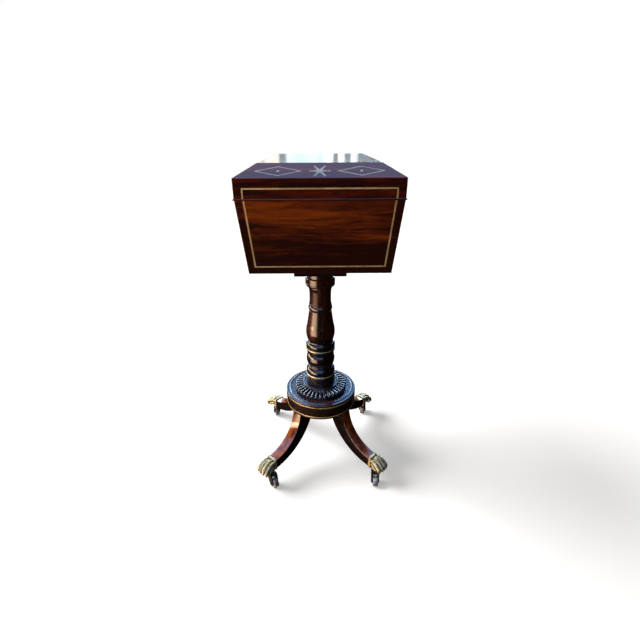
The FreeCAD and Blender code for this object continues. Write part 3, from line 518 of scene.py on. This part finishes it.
def skin(bm, rings, closed=False):
    # Faces between each ring of points and the next, where a ring can be a single point
    pairs = list(zip(rings, rings[1:]))
    if closed:
        pairs.append((rings[-1], rings[0]))
    for lower, upper in pairs:
        count = max(len(lower), len(upper))
        for index in range(count):
            after = (index + 1) % count
            corner = [lower[index % len(lower)], lower[after % len(lower)],
                      upper[after % len(upper)], upper[index % len(upper)]]
            corner = list(dict.fromkeys(corner))
            if len(corner) > 2:
                bm.faces.new(corner)


def meshFrom(bm, name):
    bmesh.ops.recalc_face_normals(bm, faces=bm.faces)
    mesh = bpy.data.meshes.new(name)
    bm.to_mesh(mesh)
    bm.free()
    return mesh


def turnedMesh(name, outline, segments, closed=False, steps=8):
    # Turns (r, z) points in millimetres about the Z axis
    bm = bmesh.new()
    rings = []
    for r, z in expandOutline(outline, steps):
        spokes = circle(segments) if r > onAxis else [(0.0, 0.0)]
        rings.append([bm.verts.new((r * mm * cos, r * mm * sin, z * mm)) for cos, sin in spokes])
    skin(bm, rings, closed)
    return meshFrom(bm, name)


easing = {
    # tolerances in metres and degrees
    "weld": 2e-6,
    "samePlane": 1.0,
    "onHull": 2e-5,
    # which edges are eased, how finely, and which stay sharp to the eye
    "angles": (25.0, 120.0),
    "segments": 2,
    "smoothBelow": 35.0,
}


def outerFaces(bm):
    # The faces that nothing of the piece lies in front of
    points = numpy.array([vert.co for vert in bm.verts])
    found = set()
    for face in bm.faces:
        level = face.normal.dot(face.calc_center_median())
        if (points @ face.normal).max() < level + easing["onHull"]:
            found.add(face)
    return found


def easedCopy(node, finish, width=0.0003, flat=False):
    # The node's own shape with its outer arrises taken off, as a maker's last stroke of the plane does
    mesh = nodes[node].data.copy()
    mesh.materials.clear()
    bm = bmesh.new()
    bm.from_mesh(mesh)
    bmesh.ops.remove_doubles(bm, verts=bm.verts, dist=easing["weld"])
    bmesh.ops.dissolve_limit(bm, angle_limit=math.radians(easing["samePlane"]), verts=bm.verts,
                             edges=bm.edges)
    outer = outerFaces(bm)
    low, high = [math.radians(angle) for angle in easing["angles"]]
    weights = bm.edges.layers.float.new("bevel_weight_edge")
    for edge in bm.edges:
        outside = len(edge.link_faces) == 2 and outer.issuperset(edge.link_faces)
        if outside and low < edge.calc_face_angle(0.0) < high:
            edge[weights] = 1.0
    bm.to_mesh(mesh)
    bm.free()
    if flat:
        if "custom_normal" in mesh.attributes:
            mesh.attributes.remove(mesh.attributes["custom_normal"])
        mesh.shade_flat()
    piece = newPiece(node + "_finished", mesh, finish, node, 0 if flat else easing["smoothBelow"])
    bevel = piece.modifiers.new("arris", "BEVEL")
    bevel.limit_method = "WEIGHT"
    bevel.width = width
    bevel.segments = easing["segments"]
    if not flat:
        piece.modifiers.new("flat faces", "WEIGHTED_NORMAL").keep_sharp = True


def dress(node, finish):
    # A node whose shape is right keeps it and gets its finish
    mesh = nodes[node].data
    mesh.materials.clear()
    mesh.materials.append(finishes[finish])


# Tea chest

chestBoards = {
    "ends": ["case_front_end", "case_back_end"],
    "sides": ["case_left_side", "case_right_side"],
    "lid_ends": ["lid_rail_front", "lid_rail_back"],
    "lid_sides": ["lid_rail_left", "lid_rail_right"],
    "top": ["lid_top_panel"],
    "mahogany": ["partitions", "bowl_board", "canister_front", "canister_back",
                 "canister_lid_front", "canister_lid_back"],
    "platform": ["bearer_block"],
}
chestDressed = {
    "inlay": ["case_stringing", "lid_stringing"],
    "motif": ["lid_slope_inlay"],
    "hardware": ["key_escutcheon", "hinge_pins", "lock_case", "lock_bolt", "lock_link_plate",
                 "hinge_case_leaves", "hinge_lid_leaves", "brass_screws", "lid_screws"],
    "steel": ["bearer_screws", "castor_pintles"],
    "mahogany": ["case_bottom"],
    "lid_ends": ["lid_lip_moulding"],
}
for finish, group in chestBoards.items():
    for node in group:
        # Only the bowl board has round edges
        easedCopy(node, finish, flat=node != "bowl_board")
for finish, group in chestDressed.items():
    for node in group:
        dress(node, finish)
print("tea chest finished")


# Glass bowls and knobs

bowl = {
    "outline": [
        (0.0, 592.0), (19.0, 592.0), (20.0, 592.6), (20.0, 595.4), (19.4, 596.4),
        (37.5, 614.0, 43.5, 650.0), (43.5, 655.0), (49.5, 655.0), (50.2, 656.3, 49.5, 657.6),
        (46.5, 658.4), (46.5, 666.8), (45.4, 668.0, 44.3, 666.8), (43.2, 656.0), (40.8, 650.0),
        (34.0, 615.5, 14.0, 599.5), (0.0, 598.5),
    ],
    "segments": 80,
    "steps": 14,
}
knobSegments = 40


def makeBowls():
    mesh = turnedMesh("glassBowl", bowl["outline"], bowl["segments"], steps=bowl["steps"])
    for side in ("left", "right"):
        node = "glass_bowl_" + side
        low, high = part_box(node)
        newPiece(node + "_blown", mesh, "glass", node, location=((low.x + high.x) / 2, 0.0, 0.0))


def makeKnobs():
    # The profile is in millimetres from the edge and the ends of the node's box
    low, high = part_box("canister_knobs")
    radius = (high.x - low.x) / 2 / mm
    base, top = low.z / mm, high.z / mm
    outline = [
        (0.0, base), (radius - 0.4, base), (radius, base + 0.5), (radius - 0.2, base + 1.4),
        (3.3, base + 2.4), (3.0, base + 3.2, 3.4, base + 3.9), (4.0, base + 4.2), (3.6, base + 4.6),
        (5.9, top - 6.0, 3.4, top - 0.9), (1.8, top - 0.1, 0.0, top),
    ]
    bm = bmesh.new()
    for side in (-1, 1):
        place = Matrix.Translation((0.0, side * (high.y - radius * mm), 0.0))
        pourInto(bm, turnedMesh("knob", outline, knobSegments), place)
    newPiece("canister_knobs_turned", meshFrom(bm, "knobs"), "ebony", "canister_knobs")


makeBowls()
makeKnobs()
print("inside fittings finished")


# Turned column with its rings

columnShape = {
    "outline": [
        (0.0, 161.0), (18.0, 161.0), (18.0, 200.5), (30.0, 200.5), (30.0, 218.5),
        # drum with a scribed line
        (36.0, 218.5), (36.0, 234.4), (35.4, 234.8), (35.4, 235.2), (36.0, 235.6), (36.0, 239.8),
        (35.5, 241.8, 34.2, 242.6), (34.0, 243.4), (33.8, 243.4), (33.8, 247.0), (34.6, 247.0),
        # lowest ring: fillet, quirk, torus
        (34.6, 247.4), (35.9, 247.6), (35.9, 249.2), (34.8, 249.5), (35.0, 250.0), (35.5, 250.6),
        (35.5, 257.6, 32.3, 264.2), (31.8, 265.0), (30.7, 265.3), (30.2, 266.6, 30.3, 268.2),
        (31.3, 269.4, 30.6, 270.9), (30.4, 271.8), (30.8, 273.0), (32.3, 273.8),
        # middle ring with a scribed line low down
        (33.7, 277.8), (33.3, 278.3), (34.1, 278.9), (35.1, 288.4, 32.4, 300.2), (31.9, 301.0),
        (31.4, 302.0), (31.5, 303.2), (32.4, 304.4),
        # upper ring: ogee, reed, seat of the brass ring, fillet, torus
        (34.0, 307.4, 34.6, 310.4), (33.7, 310.8), (33.7, 311.4), (34.5, 311.7),
        (35.7, 313.6, 34.8, 315.2), (33.3, 315.6), (33.3, 318.4), (34.2, 318.4), (34.2, 318.8),
        (35.7, 319.0), (35.8, 323.4), (34.8, 323.8), (34.9, 324.4), (35.6, 325.0),
        (35.3, 329.8, 34.0, 333.3), (33.2, 334.4), (31.7, 334.9), (31.2, 335.8),
        (30.8, 338.0, 31.4, 340.4),
        # vase
        (35.0, 359.0, 32.3, 381.0), (29.5, 398.0, 27.4, 415.0), (27.0, 417.3), (26.5, 417.6),
        (26.5, 418.2),
        # bead and fillet
        (28.5, 424.5, 26.5, 430.8), (26.2, 431.3), (26.9, 431.7), (26.9, 433.6), (26.2, 434.4),
        (26.0, 435.4),
        # neck, quarter round and collar
        (25.3, 453.0, 26.2, 471.0), (26.8, 472.2), (27.2, 473.0), (27.2, 477.6), (27.8, 478.2),
        (28.6, 478.6), (33.2, 480.6, 34.4, 485.4), (33.9, 485.9), (34.5, 486.5), (34.5, 499.0),
        (34.0, 499.8), (33.0, 500.2), (31.0, 501.5), (34.4, 528.0, 44.0, 546.5), (44.0, 551.5),
        (16.0, 551.5), (16.0, 571.5), (0.0, 571.5),
    ],
    "rings": [(243.4, 247.0, 36.2), (315.6, 318.4, 35.7)],  # low, high, radius
    "ringDepth": 2.4,
    "segments": 128,
}


def halfRoundRing(low, high, radius, depth, flat=0.8):
    middle = (low + high) / 2
    inner = radius - depth
    return [(inner, low), (radius - flat, low), (radius, middle, radius - flat, high), (inner, high)]


def joinedRings(name, outlines, segments):
    bm = bmesh.new()
    for outline in outlines:
        pourInto(bm, turnedMesh(name, outline, segments, closed=True))
    return meshFrom(bm, name)


def makeColumn():
    segments = columnShape["segments"]
    mesh = turnedMesh("columnTurned", columnShape["outline"], segments)
    newPiece("column_turned", mesh, "turned", "column")
    outlines = [halfRoundRing(*ring, columnShape["ringDepth"]) for ring in columnShape["rings"]]
    mesh = joinedRings("columnRings", outlines, segments)
    newPiece("column_rings_rounded", mesh, "ring", "column_brass_rings")


# Platform, its brass lines and its gadrooned collar

platformShape = {
    "outline": [
        (18.1, 161.0), (88.0, 161.0), (88.71, 161.29, 89.0, 162.0), (89.0, 164.8), (87.5, 164.8),
        (87.5, 168.0), (89.0, 168.0), (89.0, 192.1), (87.5, 192.1), (87.5, 195.3), (89.0, 195.3),
        (89.0, 199.0), (88.56, 200.06, 87.5, 200.5), (82.6, 200.5), (82.2, 200.1), (81.8, 200.6),
        (80.0, 202.4, 78.2, 200.6), (77.8, 200.1), (77.4, 200.5), (18.1, 200.5),
    ],
    "lines": [(164.8, 168.0, 88.95), (192.1, 195.3, 88.95)],  # low, high, radius
    "lineDepth": 1.45,
    "lineFlat": 0.25,
    "segments": 192,
}
collarShape = {
    "core": [
        (30.1, 200.5), (62.6, 200.5), (63.0, 201.0), (63.2, 203.5), (60.0, 208.0, 54.0, 208.8),
        (47.0, 211.5), (44.6, 214.8), (45.0, 215.6), (45.0, 217.4), (44.7, 218.2, 44.0, 218.5),
        (30.1, 218.5),
    ],
    "segments": 144,
    "lobes": 36,
    # radius, height, half width of a lobe
    "near": (45.2, 212.9, 2.3),
    "far": (60.7, 207.5, 5.2),
    "swell": 1.6,
    "stations": 12,
    "around": 16,
}


def lobeMesh(shape):
    # One gadroon: a slim stem that swells to a round end
    (nearR, nearZ, nearWide), (farR, farZ, farWide) = shape["near"], shape["far"]
    stations, around = shape["stations"], shape["around"]
    length = math.hypot(farR - nearR, farZ - nearZ)
    outward = Vector(((farR - nearR) / length, 0.0, (farZ - nearZ) / length))
    rise = Vector((-outward.z, 0.0, outward.x))
    widths = []
    for index in range(stations + 1):
        share = index / stations
        wide = nearWide + (farWide - nearWide) * share ** shape["swell"]
        widths.append((share * length, wide))
    for index in range(1, around // 2):
        angle = math.pi / 2 * index / (around // 2)
        widths.append((length + farWide * math.sin(angle), farWide * math.cos(angle)))
    start = Vector((nearR, 0.0, nearZ))
    bm = bmesh.new()
    rings = []
    for reach, wide in widths:
        ring = []
        for cos, sin in circle(around):
            point = start + outward * reach + rise * (wide * sin)
            point.y += wide * cos
            ring.append(bm.verts.new(point * mm))
        rings.append(ring)
    rings.append([bm.verts.new((start + outward * (length + farWide)) * mm)])
    skin(bm, rings)
    bm.faces.new(rings[0])
    return meshFrom(bm, "lobe")


def makePlatform():
    segments = platformShape["segments"]
    mesh = turnedMesh("platformTurned", platformShape["outline"], segments, closed=True)
    newPiece("platform_turned", mesh, "platform", "platform")
    depth, flat = platformShape["lineDepth"], platformShape["lineFlat"]
    outlines = [halfRoundRing(*line, depth, flat) for line in platformShape["lines"]]
    mesh = joinedRings("platformLines", outlines, segments)
    newPiece("platform_lines_rounded", mesh, "inlay", "platform_brass_lines")


def makeCollar():
    bm = bmesh.new()
    pourInto(bm, turnedMesh("collarCore", collarShape["core"], collarShape["segments"], closed=True))
    lobe = lobeMesh(collarShape)
    for index in range(collarShape["lobes"]):
        pourInto(bm, lobe.copy(), Matrix.Rotation(math.tau * index / collarShape["lobes"], 4, "Z"))
    bpy.data.meshes.remove(lobe)
    newPiece("gadrooned_collar_carved", meshFrom(bm, "collarCarved"), "collar", "gadrooned_collar")


makeColumn()
makePlatform()
makeCollar()
print("turned stand finished")


# Sabre legs, drawn outwards along X and then turned to their corner

legShape = {
    "outer": [(88.0, 161.0), (118.0, 100.0, 172.0, 73.5)],
    "inner": [(42.0, 161.0), (88.0, 83.5, 172.0, 48.5)],
    "thick": 26.0,
    "arris": 1.4,
    "stations": 40,
    "rounding": 3,
}


def sectionLoop(half, low, high, arris, rounding):
    # (sideways, along the depth) points of a rectangle with rounded corners
    side, upper, lower = half - arris, high - arris, low + arris
    turns = ((side, upper, 0), (-side, upper, 90), (-side, lower, 180), (side, lower, 270))
    loop = []
    for centreY, centreD, start in turns:
        for step in range(rounding + 1):
            angle = math.radians(start + 90 * step / rounding)
            loop.append((centreY + arris * math.cos(angle), centreD + arris * math.sin(angle)))
    return loop


def legMesh(shape):
    outer = expandOutline(shape["outer"], shape["stations"])
    inner = expandOutline(shape["inner"], shape["stations"])
    bm = bmesh.new()
    rings = []
    for (outR, outZ), (inR, inZ) in zip(outer, inner):
        depth = math.hypot(outR - inR, outZ - inZ)
        acrossR, acrossZ = (outR - inR) / depth, (outZ - inZ) / depth
        ring = []
        for y, d in sectionLoop(shape["thick"] / 2, 0.0, depth, shape["arris"], shape["rounding"]):
            ring.append(bm.verts.new(((inR + acrossR * d) * mm, y * mm, (inZ + acrossZ * d) * mm)))
        rings.append(ring)
    skin(bm, rings)
    bm.faces.new(rings[0])
    bm.faces.new(rings[-1])
    return meshFrom(bm, "sabreLeg")


def atCorner(name, mesh, finish, node, corner, sharpAngle=30.0):
    # Each leg points at the pivot of its castor
    x, y, z = jointOf["castor_swivel_" + corner]["pos_m"]
    newPiece(name, mesh, finish, node, sharpAngle, turn=math.atan2(y, x))


def makeLegs():
    mesh = legMesh(legShape)
    for corner in corners:
        node = "leg_" + corner
        atCorner(node + "_shaped", mesh, "leg", node, corner)


# Lion paw caps: toes and a pad of round limbs, melted together, with a plain band behind

pawShape = {
    "band": {"x": (172.2, 178.5), "half": 14.4, "z": (46.2, 75.8), "corner": 3.0, "rounding": 5},
    # centre, radii
    "masses": [
        ((187.0, 0.0, 61.5), (14.0, 12.6, 13.5)),
        ((194.5, 0.0, 57.5), (12.0, 14.0, 11.0)),
        ((184.0, 0.0, 53.5), (11.5, 11.5, 8.5)),
    ],
    "pad": {"x": 184.0, "radius": 11.4, "z": (44.0, 50.0), "edge": 0.6, "segments": 48},
    # sideways, back, down
    "toes": [(-12.4, -2.2, -1.6), (-4.2, 0.0, 0.0), (4.2, 0.0, 0.0), (12.4, -2.2, -1.6)],
    # outward, sideways factor, height, radius
    "toe": [
        (178.0, 0.86, 70.2, 3.4), (187.5, 0.94, 71.2, 4.1), (196.0, 1.0, 68.0, 4.8),
        (202.8, 1.08, 63.0, 4.5), (206.8, 1.13, 58.8, 5.1), (208.3, 1.14, 54.4, 4.5),
        (209.2, 1.13, 50.8, 2.9), (208.0, 1.10, 46.2, 1.0),
    ],
    # outward, sideways, height, radius
    "sideToe": [
        (183.0, 12.6, 62.0, 2.8), (190.0, 14.0, 57.0, 3.3), (196.0, 14.8, 52.0, 3.0),
        (198.0, 14.6, 47.5, 1.0),
    ],
    "voxel": 0.5,
    "smoothing": {"factor": 0.5, "iterations": 3},
    "fur": {
        "depth": 0.35, "pitch": 2.3, "wander": 0.8, "bend": 3.1,
        "outward": (179.5, 200.0), "fade": (4.0, 6.0), "above": 54.0, "rise": 6.0,
    },
}


def addLimb(bm, start, startR, end, endR, around=14):
    # A round limb with ball ends between two points
    start, end = Vector(start), Vector(end)
    axis = (end - start).normalized()
    side = axis.orthogonal().normalized()
    other = axis.cross(side)
    rings = []
    for middle, ball, steps in ((start, startR, range(-3, 1)), (end, endR, range(4))):
        for step in steps:
            lean = math.pi / 8 * step
            centre, radius = middle + axis * ball * math.sin(lean), ball * math.cos(lean)
            spokes = [side * cos + other * sin for cos, sin in circle(around)]
            rings.append([bm.verts.new((centre + spoke * radius) * mm) for spoke in spokes])
    first = bm.verts.new((start - axis * startR) * mm)
    last = bm.verts.new((end + axis * endR) * mm)
    skin(bm, [[first], *rings, [last]])


def addToe(bm, path):
    # path: (point, radius) along the toe
    for (start, startR), (end, endR) in zip(path, path[1:]):
        addLimb(bm, start, startR, end, endR)


def addEllipsoid(bm, centre, radii):
    place = Matrix.Translation(Vector(centre) * mm) @ Matrix.Diagonal((*[r * mm for r in radii], 1.0))
    bmesh.ops.create_icosphere(bm, subdivisions=4, radius=1.0, matrix=place)


def addBand(bm, band):
    loop = sectionLoop(band["half"], *band["z"], band["corner"], band["rounding"])
    rings = [[bm.verts.new((x * mm, y * mm, z * mm)) for y, z in loop] for x in band["x"]]
    skin(bm, rings)
    for ring in rings:
        bm.faces.new(ring)


def addPad(bm, pad):
    low, high = pad["z"]
    radius, edge = pad["radius"], pad["edge"]
    outline = [(0.0, low), (radius - edge, low), (radius, low + edge), (radius, high), (0.0, high)]
    place = Matrix.Translation((pad["x"] * mm, 0.0, 0.0))
    pourInto(bm, turnedMesh("pad", outline, pad["segments"]), place)


def pawMesh(shape):
    bm = bmesh.new()
    addBand(bm, shape["band"])
    for centre, radii in shape["masses"]:
        addEllipsoid(bm, centre, radii)
    for place, back, drop in shape["toes"]:
        addToe(bm, [((x + back, place * factor, z + drop), r) for x, factor, z, r in shape["toe"]])
    for side in (-1, 1):
        addToe(bm, [((x, side * y, z), r) for x, y, z, r in shape["sideToe"]])
    addPad(bm, shape["pad"])
    rough = addObject("pawRough", meshFrom(bm, "pawRough"))
    remesh = rough.modifiers.new("melt", "REMESH")
    remesh.mode = "VOXEL"
    remesh.voxel_size = shape["voxel"] * mm
    smooth = rough.modifiers.new("ease", "SMOOTH")
    smooth.factor = shape["smoothing"]["factor"]
    smooth.iterations = shape["smoothing"]["iterations"]
    graph = bpy.context.evaluated_depsgraph_get()
    mesh = bpy.data.meshes.new_from_object(rough.evaluated_get(graph))
    mesh.name = "lionPaw"
    bpy.data.objects.remove(rough)
    combFur(mesh, shape["fur"])
    mesh.shade_smooth()
    return mesh


def combFur(mesh, fur):
    # Fine locks of hair on the instep, between the band and the knuckles
    count = len(mesh.vertices)
    points = numpy.zeros(count * 3)
    normals = numpy.zeros(count * 3)
    mesh.vertices.foreach_get("co", points)
    mesh.vertex_normals.foreach_get("vector", normals)
    points = points.reshape(-1, 3)
    x, y, z = (points / mm).T
    start, end = fur["outward"]
    fadeIn, fadeOut = fur["fade"]
    where = numpy.clip((x - start) / fadeIn, 0.0, 1.0) * numpy.clip((end - x) / fadeOut, 0.0, 1.0)
    where *= numpy.clip((z - fur["above"]) / fur["rise"], 0.0, 1.0)
    wave = numpy.sin(math.tau * (y + fur["wander"] * numpy.sin(x / fur["bend"])) / fur["pitch"])
    push = fur["depth"] * mm * where * (wave - 1.0) / 2
    points += normals.reshape(-1, 3) * push[:, None]
    mesh.vertices.foreach_set("co", points.ravel())
    mesh.update()


def makePaws():
    mesh = pawMesh(pawShape)
    for corner in corners:
        node = "paw_cap_" + corner
        atCorner(node + "_cast", mesh, "cast", node, corner, 0)


makeLegs()
makePaws()
print("legs and paws finished")


# Castors: eased forks, riveted axles and turned wheels

wheelShape = {
    "outline": [
        (2.1, -5.8), (4.6, -5.8), (5.0, -5.4), (5.0, -4.8), (9.6, -4.8), (10.0, -5.5), (11.8, -5.8),
        (13.09, -5.39, 13.5, -4.4), (13.5, 4.4), (13.09, 5.39, 11.8, 5.8), (10.0, 5.5), (9.6, 4.8),
        (5.0, 4.8), (5.0, 5.4), (4.6, 5.8), (2.1, 5.8),
    ],
    "segments": 56,
    "steps": 4,
    "forkArris": 0.0004,
}


def makeCastors():
    mesh = turnedMesh("castorWheel", wheelShape["outline"], wheelShape["segments"], closed=True,
                      steps=wheelShape["steps"])
    mesh.transform(Matrix.Rotation(math.radians(90), 4, "Y"))
    for corner in corners:
        easedCopy("castor_fork_" + corner, "castor", wheelShape["forkArris"])
        easedCopy("castor_axle_" + corner, "castor")
        node = "castor_wheel_" + corner
        roll = jointOf["castor_roll_" + corner]
        turn = math.atan2(roll["axis"][1], roll["axis"][0])
        newPiece(node + "_turned", mesh, "wheel", node, location=roll["pos_m"], turn=turn)


makeCastors()
print("castors finished")


# Room: pale floor, soft light from the left, and a bright room to mirror in the polish

room = {
    "glossStrength": 8.0,
    # height of the mirrored direction, colour
    "heights": [
        (-1.0, (0.002, 0.0015, 0.001)), (-0.06, (0.003, 0.002, 0.0015)), (0.0, (0.02, 0.02, 0.02)),
        (0.12, (0.02, 0.02, 0.02)), (0.2, (0.006, 0.006, 0.009)), (0.40, (0.008, 0.012, 0.02)),
        (0.52, (0.02, 0.04, 0.08)), (0.60, (0.07, 0.17, 0.37)), (0.70, (0.08, 0.17, 0.36)),
        (0.84, (0.115, 0.13, 0.21)), (0.93, (0.09, 0.12, 0.22)), (1.0, (0.03, 0.045, 0.13)),
    ],
    "darkWall": 0.93,
    # azimuth from straight ahead, negative on the left
    "leftWindow": {
        "azimuth": (-125, -60), "height": (-0.12, 0.08), "soft": 0.12, "colour": (14.0, 10.0, 7.0),
    },
    "sunnyFloor": {
        "azimuth": (-80, -34), "height": (-0.50, -0.03), "soft": 0.45, "colour": (10.0, 7.0, 4.6),
    },
    "lowSky": {
        "azimuth": (-60, 15), "height": (0.12, 0.5), "soft": 0.3, "colour": (0.5, 1.1, 2.6),
    },
    "backWindow": {"height": (0.20, 0.46), "colour": (9.0, 13.0, 16.0)},
    # What the lid's top mirrors: a glazed wall behind, with panes between dark bars
    "glazing": {
        "strength": 1.5,
        "height": (0.0, 0.16),
        "colours": {
            "plaster": (0.68, 0.58, 0.46),
            "frame": (0.38, 0.30, 0.21),
            "bar": (0.02, 0.02, 0.02),
            "sky": (0.90, 0.90, 0.87),
            "haze": (0.73, 0.82, 0.80),
            "trees": (0.56, 0.66, 0.66),
            "shrubs": (0.40, 0.56, 0.55),
        },
        # azimuth from straight behind, and what stands there
        "parts": [
            (-9.0, "frame"), (-8.2, "plaster"), (-7.5, "frame"), (-7.0, "plaster"), (-5.5, "plaster"),
            (-5.1, "bar"), (-4.6, "bar"), (-4.1, "trees"), (-2.2, "shrubs"), (-0.8, "trees"),
            (0.4, "shrubs"), (1.0, "sky"), (1.7, "sky"), (2.0, "bar"), (2.4, "bar"), (2.7, "sky"),
            (3.2, "haze"), (3.55, "bar"), (4.05, "bar"), (4.4, "haze"), (4.9, "trees"), (5.3, "bar"),
            (10.0, "bar"),
        ],
    },
    # Light on matt surfaces, from the left and from the right
    "softLight": {"left": 0.50, "right": 0.02, "colour": (1.0, 0.99, 0.98)},
    "sun": {
        "azimuth": -103, "elevation": 38, "angle": 31, "strength": 3.1, "colour": (1.0, 0.99, 0.98),
    },
    "fill": {
        "azimuth": -50, "elevation": 8, "angle": 60, "strength": 1.1, "colour": (1.0, 0.95, 0.90),
    },
    "floorSize": 6.0,
    "floorGlow": 0.27,
    "edgeSoft": 0.05,
}


def colourRamp(tree, factor, stops):
    ramp = addNode(tree, "ValToRGB", {0: factor})
    elements = ramp.color_ramp.elements
    while len(elements) < len(stops):
        elements.new(0.5)
    for element, (position, colour) in zip(elements, stops):
        element.position = position
        element.color = rgba(colour)
    return ramp.outputs[0]


def glazedWall(tree, x, y, z):
    glazing = room["glazing"]
    low, high = glazing["parts"][0][0], glazing["parts"][-1][0]
    bearing = math2(tree, "ARCTAN2", x, y)
    bearing = spread(tree, bearing, math.radians(low), math.radians(high), 0.0, 1.0, False)
    stops = []
    for azimuth, part in glazing["parts"]:
        stops.append(((azimuth - low) / (high - low), glazing["colours"][part]))
    behind = spread(tree, y, 0.6, 0.9)
    mask = times(tree, bandMask(tree, z, *glazing["height"], room["edgeSoft"]), behind)
    return grown(tree, colourRamp(tree, bearing, stops), times(tree, mask, glazing["strength"]))


def softRoom(tree):
    # Brighter on the left, where the windows are
    light = room["softLight"]
    x = split(tree, coordinate(tree, "Generated"))[0]
    return grown(tree, light["colour"], spread(tree, x, -0.8, 0.8, light["left"], light["right"]))


def mirroredRoom(tree):
    # What the polish mirrors, by direction: windows near the horizon, a blue sky, a mauve ceiling
    x, y, z = split(tree, coordinate(tree, "Generated"))
    stops = [((height + 1) / 2, colour) for height, colour in room["heights"]]
    sky = colourRamp(tree, spread(tree, z, -1.0, 1.0, 0.0, 1.0, False), stops)
    # The wall on the right, this side of the object, is dark
    aside = times(tree, spread(tree, x, 0.2, 0.45), spread(tree, y, 0.6, 0.35))
    bright = room["glossStrength"]
    total = grown(tree, sky, spread(tree, aside, 0.0, 1.0, bright, bright * (1 - room["darkWall"])))
    azimuth = math2(tree, "ARCTAN2", x, times(tree, y, -1.0))
    masks = {}
    for name in ("leftWindow", "sunnyFloor", "lowSky"):
        low, high = [math.radians(value) for value in room[name]["azimuth"]]
        masks[name] = bandMask(tree, azimuth, low, high, room[name]["soft"])
    masks["backWindow"] = times(tree, spread(tree, y, 0.25, 0.45), spread(tree, x, 0.55, 0.35))
    for name, mask in masks.items():
        level = bandMask(tree, z, *room[name]["height"], room["edgeSoft"])
        total = vector2(tree, "ADD", total, grown(tree, room[name]["colour"], times(tree, mask, level)))
    return vector2(tree, "ADD", total, glazedWall(tree, x, y, z))


def makeWorld():
    world = bpy.data.worlds.new("studio")
    world.use_nodes = True
    tree = world.node_tree
    tree.nodes.clear()
    path = addNode(tree, "LightPath").outputs
    soft = addNode(tree, "Background", {"Color": softRoom(tree)}).outputs[0]
    gloss = addNode(tree, "Background", {"Color": mirroredRoom(tree)}).outputs[0]
    white = addNode(tree, "Background", {"Color": (1, 1, 1, 1)}).outputs[0]
    seen = addNode(tree, "MixShader", {0: path["Is Glossy Ray"], 1: soft, 2: gloss}).outputs[0]
    seen = addNode(tree, "MixShader", {0: path["Is Camera Ray"], 1: seen, 2: white}).outputs[0]
    addNode(tree, "OutputWorld", {"Surface": seen})
    bpy.context.scene.world = world


def makeFloor():
    bm = bmesh.new()
    bmesh.ops.create_grid(bm, x_segments=4, y_segments=4, size=room["floorSize"])
    floor = addObject("floor", meshFrom(bm, "floor"))
    fixed = {"Base Color": (0.95, 0.95, 0.95, 1), "Roughness": 1.0, "Specular IOR Level": 0.0,
             "Emission Color": (1, 1, 1, 1), "Emission Strength": room["floorGlow"]}
    floor.data.materials.append(newMaterial("pale_floor", fixed)[0])
    floor.visible_glossy = False
    floor.visible_diffuse = False


def makeLamp(name):
    place = room[name]
    lamp = bpy.data.lights.new(name, "SUN")
    lamp.energy = place["strength"]
    lamp.angle = math.radians(place["angle"])
    lamp.color = place["colour"]
    holder = addObject(name, lamp)
    azimuth, elevation = math.radians(place["azimuth"]), math.radians(place["elevation"])
    level = math.cos(elevation)
    towards = Vector((math.sin(azimuth) * level, -math.cos(azimuth) * level, math.sin(elevation)))
    holder.rotation_euler = towards.to_track_quat("Z", "Y").to_euler()
    holder.visible_glossy = False


cameraPlace = {
    "lens": 22.5,
    "sensor": 36.0,
    "stand": (-0.0010, -0.8772, 0.7948),
    "pitchDown": 24.81,
    "roll": -0.341,
}


def makeCamera():
    data = bpy.data.cameras.new("camera")
    data.lens = cameraPlace["lens"]
    data.sensor_width = cameraPlace["sensor"]
    data.clip_start = 0.01
    pitch, roll = math.radians(cameraPlace["pitchDown"]), math.radians(cameraPlace["roll"])
    forward = Vector((0.0, math.cos(pitch), -math.sin(pitch)))
    right = Vector((1.0, 0.0, 0.0))
    up = right.cross(forward)
    across = right * math.cos(roll) + up * math.sin(roll)
    upward = up * math.cos(roll) - right * math.sin(roll)
    turn = Matrix((across, upward, -forward)).transposed().to_4x4()
    camera = addObject("camera", data)
    camera.matrix_world = Matrix.Translation(cameraPlace["stand"]) @ turn
    bpy.context.scene.camera = camera


makeWorld()
makeFloor()
makeLamp("sun")
makeLamp("fill")
makeCamera()
bpy.context.scene.view_settings.view_transform = "Standard"
print("room and camera ready")
